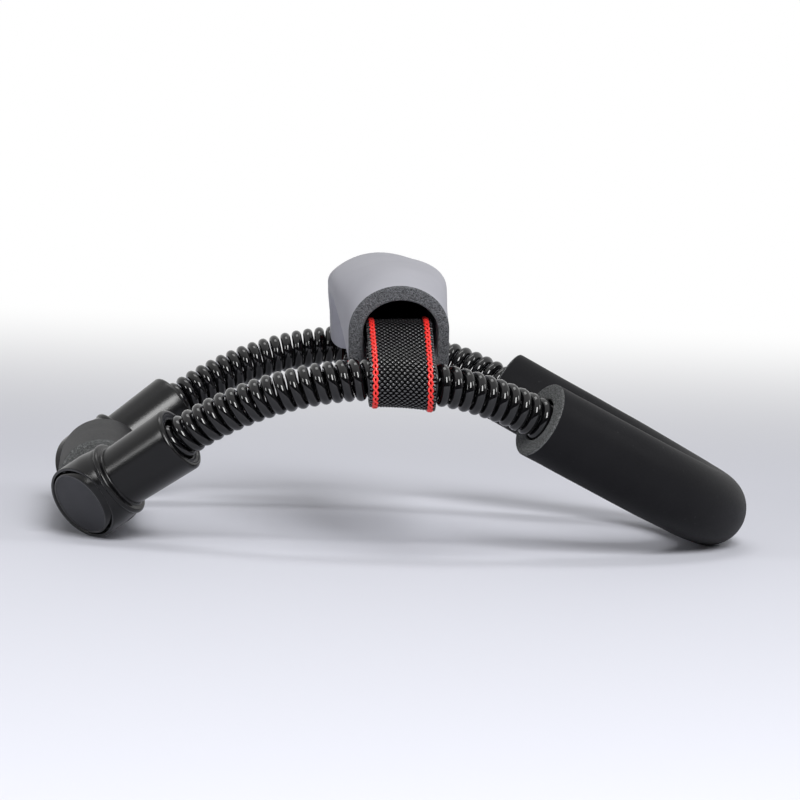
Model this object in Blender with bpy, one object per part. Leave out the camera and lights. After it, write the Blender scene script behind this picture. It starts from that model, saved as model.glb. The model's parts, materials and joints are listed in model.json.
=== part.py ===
# Wrist trainer: two coil springs join a hand grip to a padded rest for the forearm,
# and a strap with a foam pad goes over the wrist between them.
# Sizes are in millimetres and the meshes in metres. The pieces are made in a frame whose
# origin lies midway between the two sleeve mouths, then stood on the floor together:
# the grip towards -X, the forearm rest towards +X, +Z up.

import math

import bmesh
import bpy
import numpy as np
from mathutils import Matrix, Vector

MILLIMETRE = 0.001
GAP = 0.3                     # clearance between pieces that touch
TOOL_REACH = 2.0              # how far a cutting tool goes past what it cuts
WASTE_SIZE = 60.0             # block that cuts the cap's slanted end
BLIND_END = 1.0               # thread depth below the screw's tip

# The line of each side spring, from the sleeve mouth to the foam face
SPRING_SHOWN = 117.6          # length along the line between the two
MOUTH_HALF_SPACING = 68.0     # from the middle plane to each sleeve mouth
FRONT_RISE = 32.0             # slope at the sleeve mouth, degrees
REAR_FALL = 28.0              # slope at the foam face, degrees
FRONT_SPLAY = 22.6            # outward heading at the sleeve mouth, degrees
REAR_CLOSE = 21.8             # inward heading at the foam face, degrees
RISE_FOCUS = 1.0              # how much the slope gathers near the strap, degrees
SPLAY_FOCUS = 1.5             # how much the splay gathers near the strap, degrees
LINE_OVERRUN = 60.0           # straight part past each end
LINE_STEP = 0.5

# Springs
WIRE = 3.0
COIL_OUTER = 13.0
COIL_PITCH = 3.7
POINTS_PER_CURL = 8
FRONT_SEAT_DEPTH = 8.7        # spring end inside the sleeve
REAR_SEAT_DEPTH = 12.0        # spring end inside the foam
TURN_DOWN_LENGTH = 6.5        # wire run in which each end turns along the spring

# Corner fittings
SLEEVE_LENGTH = 24.3
SLEEVE_MOUTH_RADIUS = 10.3
SLEEVE_NECK_RADIUS = 9.7
SLEEVE_EDGE = 0.9
BEAD_RADIUS = 12.0
BEAD_WIDTH = 1.8
BEAD_EDGE = 0.5
CAP_NECK_RADIUS = 11.6
CAP_RADIUS = 12.3
CAP_FLARE = 6.0               # length behind the bead over which the cap widens
CAP_LENGTH = 14.6             # bead centre to the middle of the slanted end
CAP_WALL = 1.3                # round the recess for the cover
CUT_ANGLE = 46.5              # slanted end of the cap, from square across it, degrees
BORE_CLEARANCE = 0.3
BORE_DEPTH = 20.0
COVER_ANGLE = 44.0            # face of the cover, from square across the cap, degrees
COVER_PROUD = 0.8             # face of the cover above the cap's end, along the sleeve
COVER_THICKNESS = 2.4
COVER_LIP = 0.35
HEAD_SEAT = 27.0              # screw head seat, from the sleeve mouth
BOSS_RADIUS = 10.0
BOSS_REACH = 18.2             # bar axis crossing to the inner end of the boss
BAR_SETBACK = 7.8             # bar axis behind the cap's end, along the sleeve
BAR_STOP = 9.5                # blind end of the bar socket, from the crossing

# Spring plugs, clamp screws and washers
STEM_PAST_MOUTH = 3.0
STEM_EDGE = 0.5
THREAD_CLEARANCE = 0.1
SCREW_RADIUS = 2.0
SCREW_HEAD_RADIUS = 3.6
SCREW_HEAD_HEIGHT = 2.4
SCREW_HEAD_EDGE = 0.8
SCREW_TIP = 0.5
SCREW_REACH = 6.0             # thread inside the plug
WASHER_RADIUS = 4.0
WASHER_THICKNESS = 0.8
DRIVE_SLOT_WIDTH = 2.2
DRIVE_SLOT_DEPTH = 1.3

# Handle
BAR_RADIUS = 6.0
BAR_WALL = 1.5
GRIP_RADIUS = 14.0
GRIP_EDGE = 1.2
PIN_RADIUS = 1.5
PIN_SETBACK = 4.0             # pin axis from the boss end
PIN_SINK = 0.4                # pin ends below the boss's skin

# Forearm rest
FOAM_RADIUS = 12.0
BOW_RADIUS = 6.5
LEG_STRAIGHT = 28.0           # straight part of each leg before the bend
BOW_STATION = 7.0             # spacing of the rings along the bend
SPIGOT_PAST_FACE = 3.0        # bow's thin ends in front of the foam face

# Wrist pad
BAND_CENTRE = 66.5            # strap and pad, behind the sleeve mouths
PAD_HALF_SPAN = 68.0
PAD_END_HEIGHT = 14.0         # end centre above the spring line
PAD_CROWN_HEIGHT = 26.0       # crown centre above the spring line
PAD_MID_HALF_WIDTH = 17.9
PAD_MID_HALF_HEIGHT = 7.5
PAD_END_HALF_WIDTH = 15.3
PAD_END_HALF_HEIGHT = 14.8
PAD_WALL = 4.8                # over and under the bore
PAD_SIDE_WALL = 4.0
PAD_CORNER = 5.0
PAD_BORE_CORNER = 2.0
PAD_EVEN_PART = 0.15          # part of the half arc with the crown's section
PAD_STATIONS = 17

# Strap
STRAP_WIDTH = 20.0
STRAP_THICKNESS = 1.4
STRAP_FLOOR = 0.7             # strap above the bore floor of the pad
STRAP_LOOP_SLACK = 0.6        # strap outside the coil
STRAP_END_RISE = 5.0          # folded end off the bore floor at the pad's end
STRAP_LAYER_GAP = 4.2         # between the two layers at the pad's end
STRAP_RETURN = 40.0           # length folded back into each end of the pad
STRAP_RAMP = 19.0             # length in which the upper layer climbs over the folded end
STRAP_RAMP_MARGIN = 1.2       # from the ramp's top to the folded end
PATCH_THICKNESS = 0.8
PATCH_WIDTH = 18.0
PATCH_LENGTH = 16.0
PATCH_SETBACK = 22.0          # from the pad's end

# Joint places along the spring line
FRONT_FLEX_AT = 0.25
REAR_FLEX_AT = 0.80

LEFT = -1
RIGHT = 1
SIDES = {"left": LEFT, "right": RIGHT}


def material(name, colour, roughness, metallic=0.0):
    made = bpy.data.materials.new(name)
    made.use_nodes = True
    shader = made.node_tree.nodes["Principled BSDF"]
    shader.inputs["Base Color"].default_value = (*colour, 1.0)
    shader.inputs["Roughness"].default_value = roughness
    shader.inputs["Metallic"].default_value = metallic
    made.diffuse_color = (*colour, 1.0)
    return made


def smoothstep(value):
    value = min(max(value, 0.0), 1.0)
    return value * value * (3.0 - 2.0 * value)


def unit(vector):
    return vector / np.linalg.norm(vector)


def heading(part):
    # Direction of the left spring at a part (0 to 1) of its shown length
    wave = math.sin(2.0 * math.pi * part)
    slope = FRONT_RISE - (FRONT_RISE + REAR_FALL) * part + RISE_FOCUS * wave
    splay = -FRONT_SPLAY + (FRONT_SPLAY + REAR_CLOSE) * part - SPLAY_FOCUS * wave
    slope, splay = math.radians(slope), math.radians(splay)
    flat = math.cos(slope)
    return np.array([flat * math.cos(splay), flat * math.sin(splay), math.sin(slope)])


class SpringLine:
    # The left spring's centre line with a frame carried along it without twist.
    # Distances run from the sleeve mouth; the line goes on straight past both ends.
    def __init__(self):
        steps = round(SPRING_SHOWN / LINE_STEP)
        step = SPRING_SHOWN / steps
        self.distance = [-LINE_OVERRUN]
        points = [np.array([0.0, -MOUTH_HALF_SPACING, 0.0]) - heading(0.0) * LINE_OVERRUN]
        directions = [heading(0.0)]
        place = np.array([0.0, -MOUTH_HALF_SPACING, 0.0])
        for index in range(steps + 1):
            self.distance.append(index * step)
            points.append(place.copy())
            directions.append(heading(index / steps))
            place = place + heading((index + 0.5) / steps) * step
        points.append(points[-1] + heading(1.0) * LINE_OVERRUN)
        directions.append(heading(1.0))
        self.distance.append(SPRING_SHOWN + LINE_OVERRUN)
        self.points = np.array(points)
        self.directions = np.array(directions)
        normal = unit(np.cross(self.directions[0], [0.0, 1.0, 0.0]))
        normals = []
        for direction in self.directions:
            normal = unit(normal - direction * np.dot(normal, direction))
            normals.append(normal)
        self.normals = np.array(normals)

    def at(self, distance, table=None):
        table = self.points if table is None else table
        return np.array([np.interp(distance, self.distance, table[:, axis]) for axis in range(3)])

    def frame(self, distance):
        direction = unit(self.at(distance, self.directions))
        normal = self.at(distance, self.normals)
        normal = unit(normal - direction * np.dot(normal, direction))
        return direction, normal, np.cross(direction, normal)


LINE = SpringLine()
COIL_RADIUS = (COIL_OUTER - WIRE) / 2.0
BORE_RADIUS = COIL_OUTER / 2.0 + BORE_CLEARANCE
CHORD_SAG = COIL_RADIUS * (1.0 - math.cos(math.pi / POINTS_PER_CURL))
STEM_RADIUS = COIL_OUTER / 2.0 - WIRE - CHORD_SAG - GAP


def mirrored(points, side):
    flipped = np.array(points, dtype=float)
    flipped[..., 1] *= -side
    return flipped


def finish_object(name, mesh, made_of, smooth_angle=40.0):
    mesh.materials.append(made_of)
    mesh.shade_smooth()
    mesh.set_sharp_from_angle(angle=math.radians(smooth_angle))
    thing = bpy.data.objects.new(name, mesh)
    bpy.context.collection.objects.link(thing)
    return thing


def mesh_from_rings(name, rings, inner_rings=None):
    # A closed skin over rings of points, with end faces; inner rings give it a through bore
    build = bmesh.new()
    skins = []
    for source in (rings, inner_rings):
        if source is not None:
            skins.append([[build.verts.new(point * MILLIMETRE) for point in ring] for ring in source])
    for skin in skins:
        for first, second in zip(skin, skin[1:]):
            for index, corner in enumerate(first):
                after = (index + 1) % len(first)
                build.faces.new((corner, first[after], second[after], second[index]))
    if inner_rings is None:
        build.faces.new(skins[0][0])
        build.faces.new(skins[0][-1])
    else:
        for end in (0, -1):
            outer, inner = skins[0][end], skins[1][end]
            for index in range(len(outer)):
                after = (index + 1) % len(outer)
                build.faces.new((outer[index], outer[after], inner[after], inner[index]))
    bmesh.ops.recalc_face_normals(build, faces=build.faces)
    mesh = bpy.data.meshes.new(name)
    build.to_mesh(mesh)
    build.free()
    return mesh


def circle(centre, across, up, radius, count):
    turns = [2.0 * math.pi * index / count for index in range(count)]
    return [centre + across * radius * math.cos(turn) + up * radius * math.sin(turn) for turn in turns]


def turned_rings(profile, count):
    # Rings about the local Z axis from (radius, height) pairs
    across, up, axis = np.eye(3)
    return [circle(axis * height, across, up, radius, count) for radius, height in profile]


def turned(name, profile, made_of, count=24, bore=None):
    inner = turned_rings(bore, count) if bore else None
    return finish_object(name, mesh_from_rings(name, turned_rings(profile, count), inner), made_of)


def helper(thing):
    thing.hide_render = True
    thing.display_type = "WIRE"
    return thing


def combine(thing, tool, operation):
    # The tool is made in the thing's own frame and stays with it
    tool.parent = thing
    change = thing.modifiers.new(tool.name, "BOOLEAN")
    change.operation = operation
    change.object = helper(tool)
    change.solver = "EXACT"


def fitting_frame(side):
    # Local frame of a corner fitting: Z runs forward along the sleeve from its mouth,
    # X points away from the middle plane, so the cut face leans in the local XZ plane
    forward = mirrored(-heading(0.0), side)
    outward = np.array([0.0, float(side), 0.0])
    across = unit(outward - forward * np.dot(outward, forward))
    place = mirrored(np.array([0.0, -MOUTH_HALF_SPACING, 0.0]), side)
    matrix = Matrix.Identity(4)
    for row in range(3):
        matrix[row][0] = across[row]
        matrix[row][1] = np.cross(forward, across)[row]
        matrix[row][2] = forward[row]
        matrix[row][3] = place[row] * MILLIMETRE
    return matrix


# Heights along the fitting, from the sleeve mouth
FACE_CENTRE = SLEEVE_LENGTH + CAP_LENGTH
BAR_CROSSING = FACE_CENTRE - BAR_SETBACK
CUT = math.radians(CUT_ANGLE)
CUT_NORMAL = np.array([math.sin(CUT), 0.0, math.cos(CUT)])
COVER_SLANT = math.radians(COVER_ANGLE)
COVER_FACE = FACE_CENTRE + COVER_PROUD
COVER_UNDERSIDE = COVER_FACE - COVER_THICKNESS / math.cos(COVER_SLANT)
POCKET_FLOOR = COVER_UNDERSIDE - GAP / math.cos(COVER_SLANT)
POCKET_RADIUS = CAP_RADIUS - CAP_WALL
ELBOW = math.acos(np.dot(-heading(0.0), [0.0, -1.0, 0.0]))
BAR_INWARD = np.array([-math.sin(ELBOW), 0.0, -math.cos(ELBOW)])
BAR_SIDEWAYS = np.array([0.0, 1.0, 0.0])
BAR_ACROSS = np.cross(BAR_SIDEWAYS, BAR_INWARD)
CROSSING = np.array([0.0, 0.0, BAR_CROSSING])
FACE_POINT = np.array([0.0, 0.0, FACE_CENTRE])


def rod(name, start, end, radius, made_of, count=24):
    direction = unit(end - start)
    across = unit(np.cross(direction, [0.3, 1.0, 0.1]))
    up = np.cross(direction, across)
    rings = [circle(start, across, up, radius, count), circle(end, across, up, radius, count)]
    return finish_object(name, mesh_from_rings(name, rings), made_of)


def slanted_ring(height, slant, radius, count=32):
    # A ring about the sleeve's axis whose plane leans by an angle; the height is its centre's
    ring = turned_rings([(radius, height)], count)[0]
    return [point - np.array([0.0, 0.0, point[0] * math.tan(slant)]) for point in ring]


def turned_between(name, rings, made_of):
    return finish_object(name, mesh_from_rings(name, rings), made_of)


def make_fitting(name, side, made_of):
    neck = SLEEVE_LENGTH - BEAD_WIDTH / 2.0
    shoulder = SLEEVE_LENGTH + BEAD_WIDTH / 2.0
    reach = FACE_CENTRE + CAP_RADIUS * math.tan(CUT) + TOOL_REACH
    body = turned(name, [
        (SLEEVE_MOUTH_RADIUS - SLEEVE_EDGE, 0.0),
        (SLEEVE_MOUTH_RADIUS, SLEEVE_EDGE),
        (SLEEVE_NECK_RADIUS, neck),
        (BEAD_RADIUS - BEAD_EDGE, neck),
        (BEAD_RADIUS, neck + BEAD_EDGE),
        (BEAD_RADIUS, shoulder - BEAD_EDGE),
        (CAP_NECK_RADIUS, shoulder),
        (CAP_RADIUS, shoulder + CAP_FLARE),
        (CAP_RADIUS, reach),
    ], made_of, count=28)
    boss = rod(name + "_boss", CROSSING, CROSSING + BAR_INWARD * BOSS_REACH, BOSS_RADIUS, made_of)
    past = FACE_POINT + CUT_NORMAL * WASTE_SIZE
    waste = rod(name + "_waste", FACE_POINT, past, WASTE_SIZE, made_of, count=8)
    pocket = turned_between(name + "_pocket", [
        slanted_ring(POCKET_FLOOR, COVER_SLANT, POCKET_RADIUS),
        slanted_ring(reach, 0.0, POCKET_RADIUS),
    ], made_of)
    bore = turned(name + "_bore", [(BORE_RADIUS, -TOOL_REACH), (BORE_RADIUS, BORE_DEPTH)], made_of)
    hole_radius = SCREW_RADIUS + GAP
    shank_start = BORE_DEPTH - TOOL_REACH
    shank_hole = turned(name + "_shank_hole", [(hole_radius, shank_start), (hole_radius, reach)],
                        made_of, count=12)
    head_radius = WASHER_RADIUS + GAP
    head_hole = turned(name + "_head_hole", [(head_radius, HEAD_SEAT), (head_radius, reach)],
                       made_of, count=16)
    socket = rod(name + "_socket", CROSSING + BAR_INWARD * BAR_STOP,
                 CROSSING + BAR_INWARD * (BOSS_REACH + TOOL_REACH), BAR_RADIUS + GAP, made_of)
    pin_point = CROSSING + BAR_INWARD * (BOSS_REACH - PIN_SETBACK)
    pin_reach = BAR_SIDEWAYS * (BOSS_RADIUS + TOOL_REACH)
    pin_hole = rod(name + "_pin_hole", pin_point - pin_reach, pin_point + pin_reach,
                   PIN_RADIUS + GAP, made_of, count=12)
    combine(body, boss, "UNION")
    for tool in (waste, pocket, bore, shank_hole, head_hole, socket, pin_hole):
        combine(body, tool, "DIFFERENCE")
    body.matrix_world = fitting_frame(side)
    return body


def make_cover(name, side, made_of):
    # A round plug whose face is slanted and stands proud of the cap on its near side
    radius = POCKET_RADIUS - GAP
    rings = [
        slanted_ring(COVER_UNDERSIDE, COVER_SLANT, radius),
        slanted_ring(COVER_FACE - COVER_LIP, COVER_SLANT, radius),
        slanted_ring(COVER_FACE, COVER_SLANT, radius - COVER_LIP),
    ]
    cover = turned_between(name, rings, made_of)
    cover.matrix_world = fitting_frame(side)
    return cover


def make_plug(name, side, made_of):
    # Stem inside the spring, body behind it down to the bottom of the bore
    body_end = BORE_DEPTH - GAP
    hole_top = body_end - SCREW_REACH - BLIND_END
    body_radius = BORE_RADIUS - BORE_CLEARANCE
    seat = FRONT_SEAT_DEPTH + GAP
    thread_radius = SCREW_RADIUS + THREAD_CLEARANCE
    plug = turned(name, [
        (STEM_RADIUS - STEM_EDGE, -STEM_PAST_MOUTH),
        (STEM_RADIUS, STEM_EDGE - STEM_PAST_MOUTH),
        (STEM_RADIUS, seat),
        (body_radius, seat),
        (body_radius, body_end),
        (thread_radius, body_end),
        (thread_radius, hole_top),
    ], made_of, count=20)
    plug.matrix_world = fitting_frame(side)
    return plug


def make_screw(name, side, made_of):
    under_head = HEAD_SEAT + GAP + WASHER_THICKNESS + GAP
    head_top = under_head + SCREW_HEAD_HEIGHT
    tip = BORE_DEPTH - GAP - SCREW_REACH
    screw = turned(name, [
        (SCREW_RADIUS - SCREW_TIP, tip),
        (SCREW_RADIUS, tip + SCREW_TIP),
        (SCREW_RADIUS, under_head),
        (SCREW_HEAD_RADIUS, under_head),
        (SCREW_HEAD_RADIUS, head_top - SCREW_HEAD_EDGE),
        (SCREW_HEAD_RADIUS - SCREW_HEAD_EDGE, head_top),
    ], made_of, count=16)
    slot_low = head_top - DRIVE_SLOT_DEPTH
    slot = turned(name + "_drive", [(DRIVE_SLOT_WIDTH, slot_low), (DRIVE_SLOT_WIDTH, head_top + TOOL_REACH)],
                  made_of, count=6)
    combine(screw, slot, "DIFFERENCE")
    screw.matrix_world = fitting_frame(side)
    return screw


def make_washer(name, side, made_of):
    low = HEAD_SEAT + GAP
    high = low + WASHER_THICKNESS
    hole = SCREW_RADIUS + GAP
    washer = turned(name, [(WASHER_RADIUS, low), (WASHER_RADIUS, high)], made_of, count=20,
                    bore=[(hole, low), (hole, high)])
    washer.matrix_world = fitting_frame(side)
    return washer


def make_pin(name, side, made_of):
    centre = CROSSING + BAR_INWARD * (BOSS_REACH - PIN_SETBACK)
    reach = BAR_SIDEWAYS * (BOSS_RADIUS - PIN_SINK)
    pin = rod(name, centre - reach, centre + reach, PIN_RADIUS, made_of, count=12)
    pin.matrix_world = fitting_frame(side)
    return pin


def crossing_place():
    # Where the right sleeve's axis crosses the bar's, in millimetres
    return fitting_frame(RIGHT) @ Vector(CROSSING * MILLIMETRE) / MILLIMETRE


def bar_frame():
    # Local Z lies along the bar, across the trainer, and local Y points down
    place = crossing_place() * MILLIMETRE
    return Matrix.Translation((place.x, 0.0, place.z)) @ Matrix.Rotation(-math.pi / 2.0, 4, "X")


def make_handle_bar(name, made_of):
    # Steel tube between the two blind sockets, cross-drilled for its pins
    half = crossing_place().y - BAR_STOP - GAP
    inner = BAR_RADIUS - BAR_WALL
    bar = turned(name, [(BAR_RADIUS, -half), (BAR_RADIUS, half)], made_of,
                 bore=[(inner, -half), (inner, half)])
    upright = fitting_frame(RIGHT).to_3x3() @ Vector(BAR_SIDEWAYS)
    reach = unit(np.array([upright.x, -upright.z, 0.0])) * (BAR_RADIUS + TOOL_REACH)
    pin_place = crossing_place().y - BOSS_REACH + PIN_SETBACK
    for side_name, side in SIDES.items():
        centre = np.array([0.0, 0.0, side * pin_place])
        drill = rod(name + "_drill_" + side_name, centre - reach, centre + reach,
                    PIN_RADIUS + GAP, made_of, count=12)
        combine(bar, drill, "DIFFERENCE")
    bar.matrix_world = bar_frame()
    return bar


def make_handle_grip(name, made_of):
    half = crossing_place().y - BOSS_REACH - GAP
    hole = BAR_RADIUS + GAP
    grip = turned(name, [
        (GRIP_RADIUS - GRIP_EDGE, -half),
        (GRIP_RADIUS, GRIP_EDGE - half),
        (GRIP_RADIUS, half - GRIP_EDGE),
        (GRIP_RADIUS - GRIP_EDGE, half),
    ], made_of, bore=[(hole, -half), (hole, GRIP_EDGE - half), (hole, half - GRIP_EDGE), (hole, half)])
    grip.matrix_world = bar_frame()
    return grip


def coil_points():
    # Wire centre points of the left spring. The wire winds at a steady pitch, and at each
    # end it turns along the spring and runs straight into its seat.
    start = -FRONT_SEAT_DEPTH
    end = SPRING_SHOWN + REAR_SEAT_DEPTH
    lean = math.atan2(COIL_PITCH, 2.0 * math.pi * COIL_RADIUS)
    step = math.hypot(COIL_PITCH, 2.0 * math.pi * COIL_RADIUS) / POINTS_PER_CURL

    def end_run():
        # (distance along the spring, turn) steps from the wire's end to the steady winding
        runs = [(0.0, 0.0), (WIRE, 0.0)]
        pieces = 6
        along, turn = WIRE, 0.0
        for index in range(pieces):
            angle = lean + (math.pi / 2.0 - lean) * (1.0 - smoothstep((index + 0.5) / pieces))
            along += math.sin(angle) * TURN_DOWN_LENGTH / pieces
            turn += math.cos(angle) * TURN_DOWN_LENGTH / pieces / COIL_RADIUS
            runs.append((along, turn))
        return runs

    run = end_run()
    wound = end - start - 2.0 * run[-1][0]
    curls = wound / COIL_PITCH
    count = round(curls * POINTS_PER_CURL)
    turned_by = curls * 2.0 * math.pi
    path = [(start + along, turn) for along, turn in run]
    for index in range(1, count):
        path.append((start + run[-1][0] + wound * index / count, run[-1][1] + turned_by * index / count))
    last_turn = 2.0 * run[-1][1] + turned_by
    path += [(end - along, last_turn - turn) for along, turn in reversed(run)]
    points = []
    for distance, turn in path:
        direction, normal, side = LINE.frame(distance)
        points.append(LINE.at(distance) + COIL_RADIUS * (math.cos(turn) * normal + math.sin(turn) * side))
    print("spring curls per side:", round(curls, 1), "wire step:", round(step, 2), "mm")
    return np.array(points)


def least_self_gap(points):
    # Smallest distance between wire surfaces of neighbouring curls, on points refined by interpolation
    pieces = 6
    fine = [points[index] + (points[index + 1] - points[index]) * part / pieces
            for index in range(len(points) - 1) for part in range(pieces)]
    fine = np.array(fine)
    skip = POINTS_PER_CURL * pieces // 2
    least = 1e9
    for index in range(len(fine) - skip):
        window = fine[index + skip:index + 3 * skip]
        least = min(least, float(np.min(np.linalg.norm(window - fine[index], axis=1))))
    return least - WIRE


def make_spring(name, side, made_of, points):
    curve = bpy.data.curves.new(name, "CURVE")
    curve.dimensions = "3D"
    curve.bevel_depth = WIRE / 2.0 * MILLIMETRE
    curve.bevel_resolution = 1
    curve.use_fill_caps = True
    spline = curve.splines.new("POLY")
    spline.points.add(len(points) - 1)
    for place, point in zip(spline.points, mirrored(points, side)):
        place.co = (*(point * MILLIMETRE), 1.0)
    curve.materials.append(made_of)
    thing = bpy.data.objects.new(name, curve)
    bpy.context.collection.objects.link(thing)
    return thing


def bow_stations(start, spacing):
    # Centre points and directions of the rear U, from a distance along the left leg round to
    # the same distance on the right leg. The legs close in and an arc joins them.
    leg = heading(1.0)
    level = unit(np.array([leg[0], 0.0, leg[2]]))
    close = math.asin(leg[1])
    foot = LINE.at(SPRING_SHOWN)
    bend_start = foot + leg * LEG_STRAIGHT
    radius = -bend_start[1] / math.cos(close)
    centre = bend_start - level * radius * math.sin(close) + np.array([0.0, radius * math.cos(close), 0.0])
    left = []
    straight = LEG_STRAIGHT - start
    pieces = max(1, round(straight / spacing))
    for index in range(pieces):
        left.append((foot + leg * (start + straight * index / pieces), leg))
    pieces = max(2, round(radius * (math.pi / 2.0 - close) / spacing))
    for index in range(pieces):
        turn = close + (math.pi / 2.0 - close) * index / pieces
        along = np.array([0.0, 1.0, 0.0]) * math.sin(turn) + level * math.cos(turn)
        spoke = level * math.sin(turn) - np.array([0.0, 1.0, 0.0]) * math.cos(turn)
        left.append((centre + spoke * radius, along))
    lowest = [(centre + level * radius, np.array([0.0, 1.0, 0.0]))]
    flip = np.array([1.0, -1.0, 1.0])
    right = [(point * flip, -(direction * flip)) for point, direction in reversed(left)]
    return left + lowest + right, np.cross([0.0, 1.0, 0.0], level)


def swept_rings(stations, upright, radii, count):
    rings = []
    for (point, direction), radius in zip(stations, radii):
        rings.append(circle(point, upright, np.cross(direction, upright), radius, count))
    return rings


def make_arm_rest_foam(name, made_of):
    stations, upright = bow_stations(0.0, BOW_STATION)
    outer = swept_rings(stations, upright, [FOAM_RADIUS] * len(stations), 20)
    inner = swept_rings(stations, upright, [BORE_RADIUS] * len(stations), 20)
    return finish_object(name, mesh_from_rings(name, outer, inner), made_of)


def make_rear_bow(name, made_of):
    shoulder = REAR_SEAT_DEPTH + GAP
    stations, upright = bow_stations(shoulder, BOW_STATION)
    first, leg = stations[0]
    last, back = stations[-1]
    spigot = shoulder + SPIGOT_PAST_FACE
    ends_in = [(first - leg * spigot, leg), (first - leg * (spigot - STEM_EDGE), leg), (first, leg)]
    ends_out = [(last, back), (last + back * (spigot - STEM_EDGE), back), (last + back * spigot, back)]
    radii = [STEM_RADIUS - STEM_EDGE, STEM_RADIUS, STEM_RADIUS]
    rings = swept_rings(ends_in + stations + ends_out, upright,
                        radii + [BOW_RADIUS] * len(stations) + radii[::-1], 14)
    return finish_object(name, mesh_from_rings(name, rings), made_of)


def line_at_x(x):
    return np.array([np.interp(x, LINE.points[:, 0], LINE.points[:, axis]) for axis in range(3)])


# The pad's arch, in the plane across the trainer through the strap
SPRING_AT_BAND = line_at_x(BAND_CENTRE)
PAD_RISE = PAD_CROWN_HEIGHT - PAD_END_HEIGHT
ARCH_RADIUS = (PAD_HALF_SPAN ** 2 + PAD_RISE ** 2) / (2.0 * PAD_RISE)
ARCH_HALF_ANGLE = math.asin(PAD_HALF_SPAN / ARCH_RADIUS)
ARCH_CENTRE_Z = SPRING_AT_BAND[2] + PAD_CROWN_HEIGHT - ARCH_RADIUS
HALF_ARC = ARCH_RADIUS * ARCH_HALF_ANGLE

# Places in the pad as parts of its half arc, 0 at the crown and 1 at its end
RETURN_END = 1.0 - STRAP_RETURN / HALF_ARC
PATCH_TO = 1.0 - PATCH_SETBACK / HALF_ARC
PATCH_FROM = PATCH_TO - PATCH_LENGTH / HALF_ARC


def pad_sizes(part):
    # Half width and half height of the pad at a part of its half arc
    swell = smoothstep((abs(part) - PAD_EVEN_PART) / (1.0 - PAD_EVEN_PART))
    width = PAD_MID_HALF_WIDTH + (PAD_END_HALF_WIDTH - PAD_MID_HALF_WIDTH) * swell
    height = PAD_MID_HALF_HEIGHT + (PAD_END_HALF_HEIGHT - PAD_MID_HALF_HEIGHT) * swell
    return width, height


def arch_point(part, radial, along=0.0):
    # A point in the band: part of the left half arc, height off the arch line, offset along X
    angle = part * ARCH_HALF_ANGLE
    radius = ARCH_RADIUS + radial
    height = ARCH_CENTRE_Z + radius * math.cos(angle)
    return np.array([BAND_CENTRE + along, -radius * math.sin(angle), height])


def pad_section(half_width, half_height, corner):
    # Round top, straight sides and a flat underside with rounded corners
    corner = min(corner, half_height * 0.8)
    turns = [math.pi * index / 8.0 for index in range(9)]
    section = [(half_width * math.cos(turn), half_height * math.sin(turn)) for turn in turns]
    bend = corner * (1.0 - math.sqrt(0.5))
    lower = [
        (half_width, corner - half_height),
        (half_width - bend, bend - half_height),
        (half_width - corner, -half_height),
    ]
    section += [(-across, up) for across, up in lower]
    section.append((0.0, -half_height))
    section += reversed(lower)
    return section


def make_wrist_pad(name, made_of):
    outer, inner = [], []
    for index in range(PAD_STATIONS):
        part = 2.0 * index / (PAD_STATIONS - 1) - 1.0
        width, height = pad_sizes(part)
        skin = pad_section(width, height, PAD_CORNER)
        bore = pad_section(width - PAD_SIDE_WALL, height - PAD_WALL, PAD_BORE_CORNER)
        outer.append([arch_point(part, up, across) for across, up in skin])
        inner.append([arch_point(part, up, across) for across, up in bore])
    return finish_object(name, mesh_from_rings(name, outer, inner), made_of, smooth_angle=50.0)


def strap_lift(part):
    # Height of the two strap layers and the patches off the arch line: centre of each layer
    floor = -(pad_sizes(part)[1] - PAD_WALL)
    ending = smoothstep((part - PATCH_TO) / (1.0 - PATCH_TO))
    lower = floor + STRAP_FLOOR + STRAP_THICKNESS / 2.0 + STRAP_END_RISE * ending
    hook = lower + STRAP_THICKNESS / 2.0 + GAP + PATCH_THICKNESS / 2.0
    loop = hook + PATCH_THICKNESS + GAP
    stack = loop + PATCH_THICKNESS / 2.0 + GAP + STRAP_THICKNESS / 2.0
    doubled = lower + STRAP_THICKNESS + STRAP_LAYER_GAP
    ramp_top = RETURN_END - STRAP_RAMP_MARGIN / HALF_ARC
    raised = smoothstep(1.0 - (ramp_top - part) * HALF_ARC / STRAP_RAMP)
    upper = lower + (stack - lower) * raised + (doubled - stack) * ending
    return lower, hook, loop, upper


def tangent_angle(point, radius, upper):
    # Angle on the loop circle where a line from the point touches it, from above or below
    offset = point - SPRING_AT_BAND[1:]
    spread = math.acos(radius / np.linalg.norm(offset))
    facing = math.atan2(offset[1], offset[0])
    return facing + spread if upper else facing - spread


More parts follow.
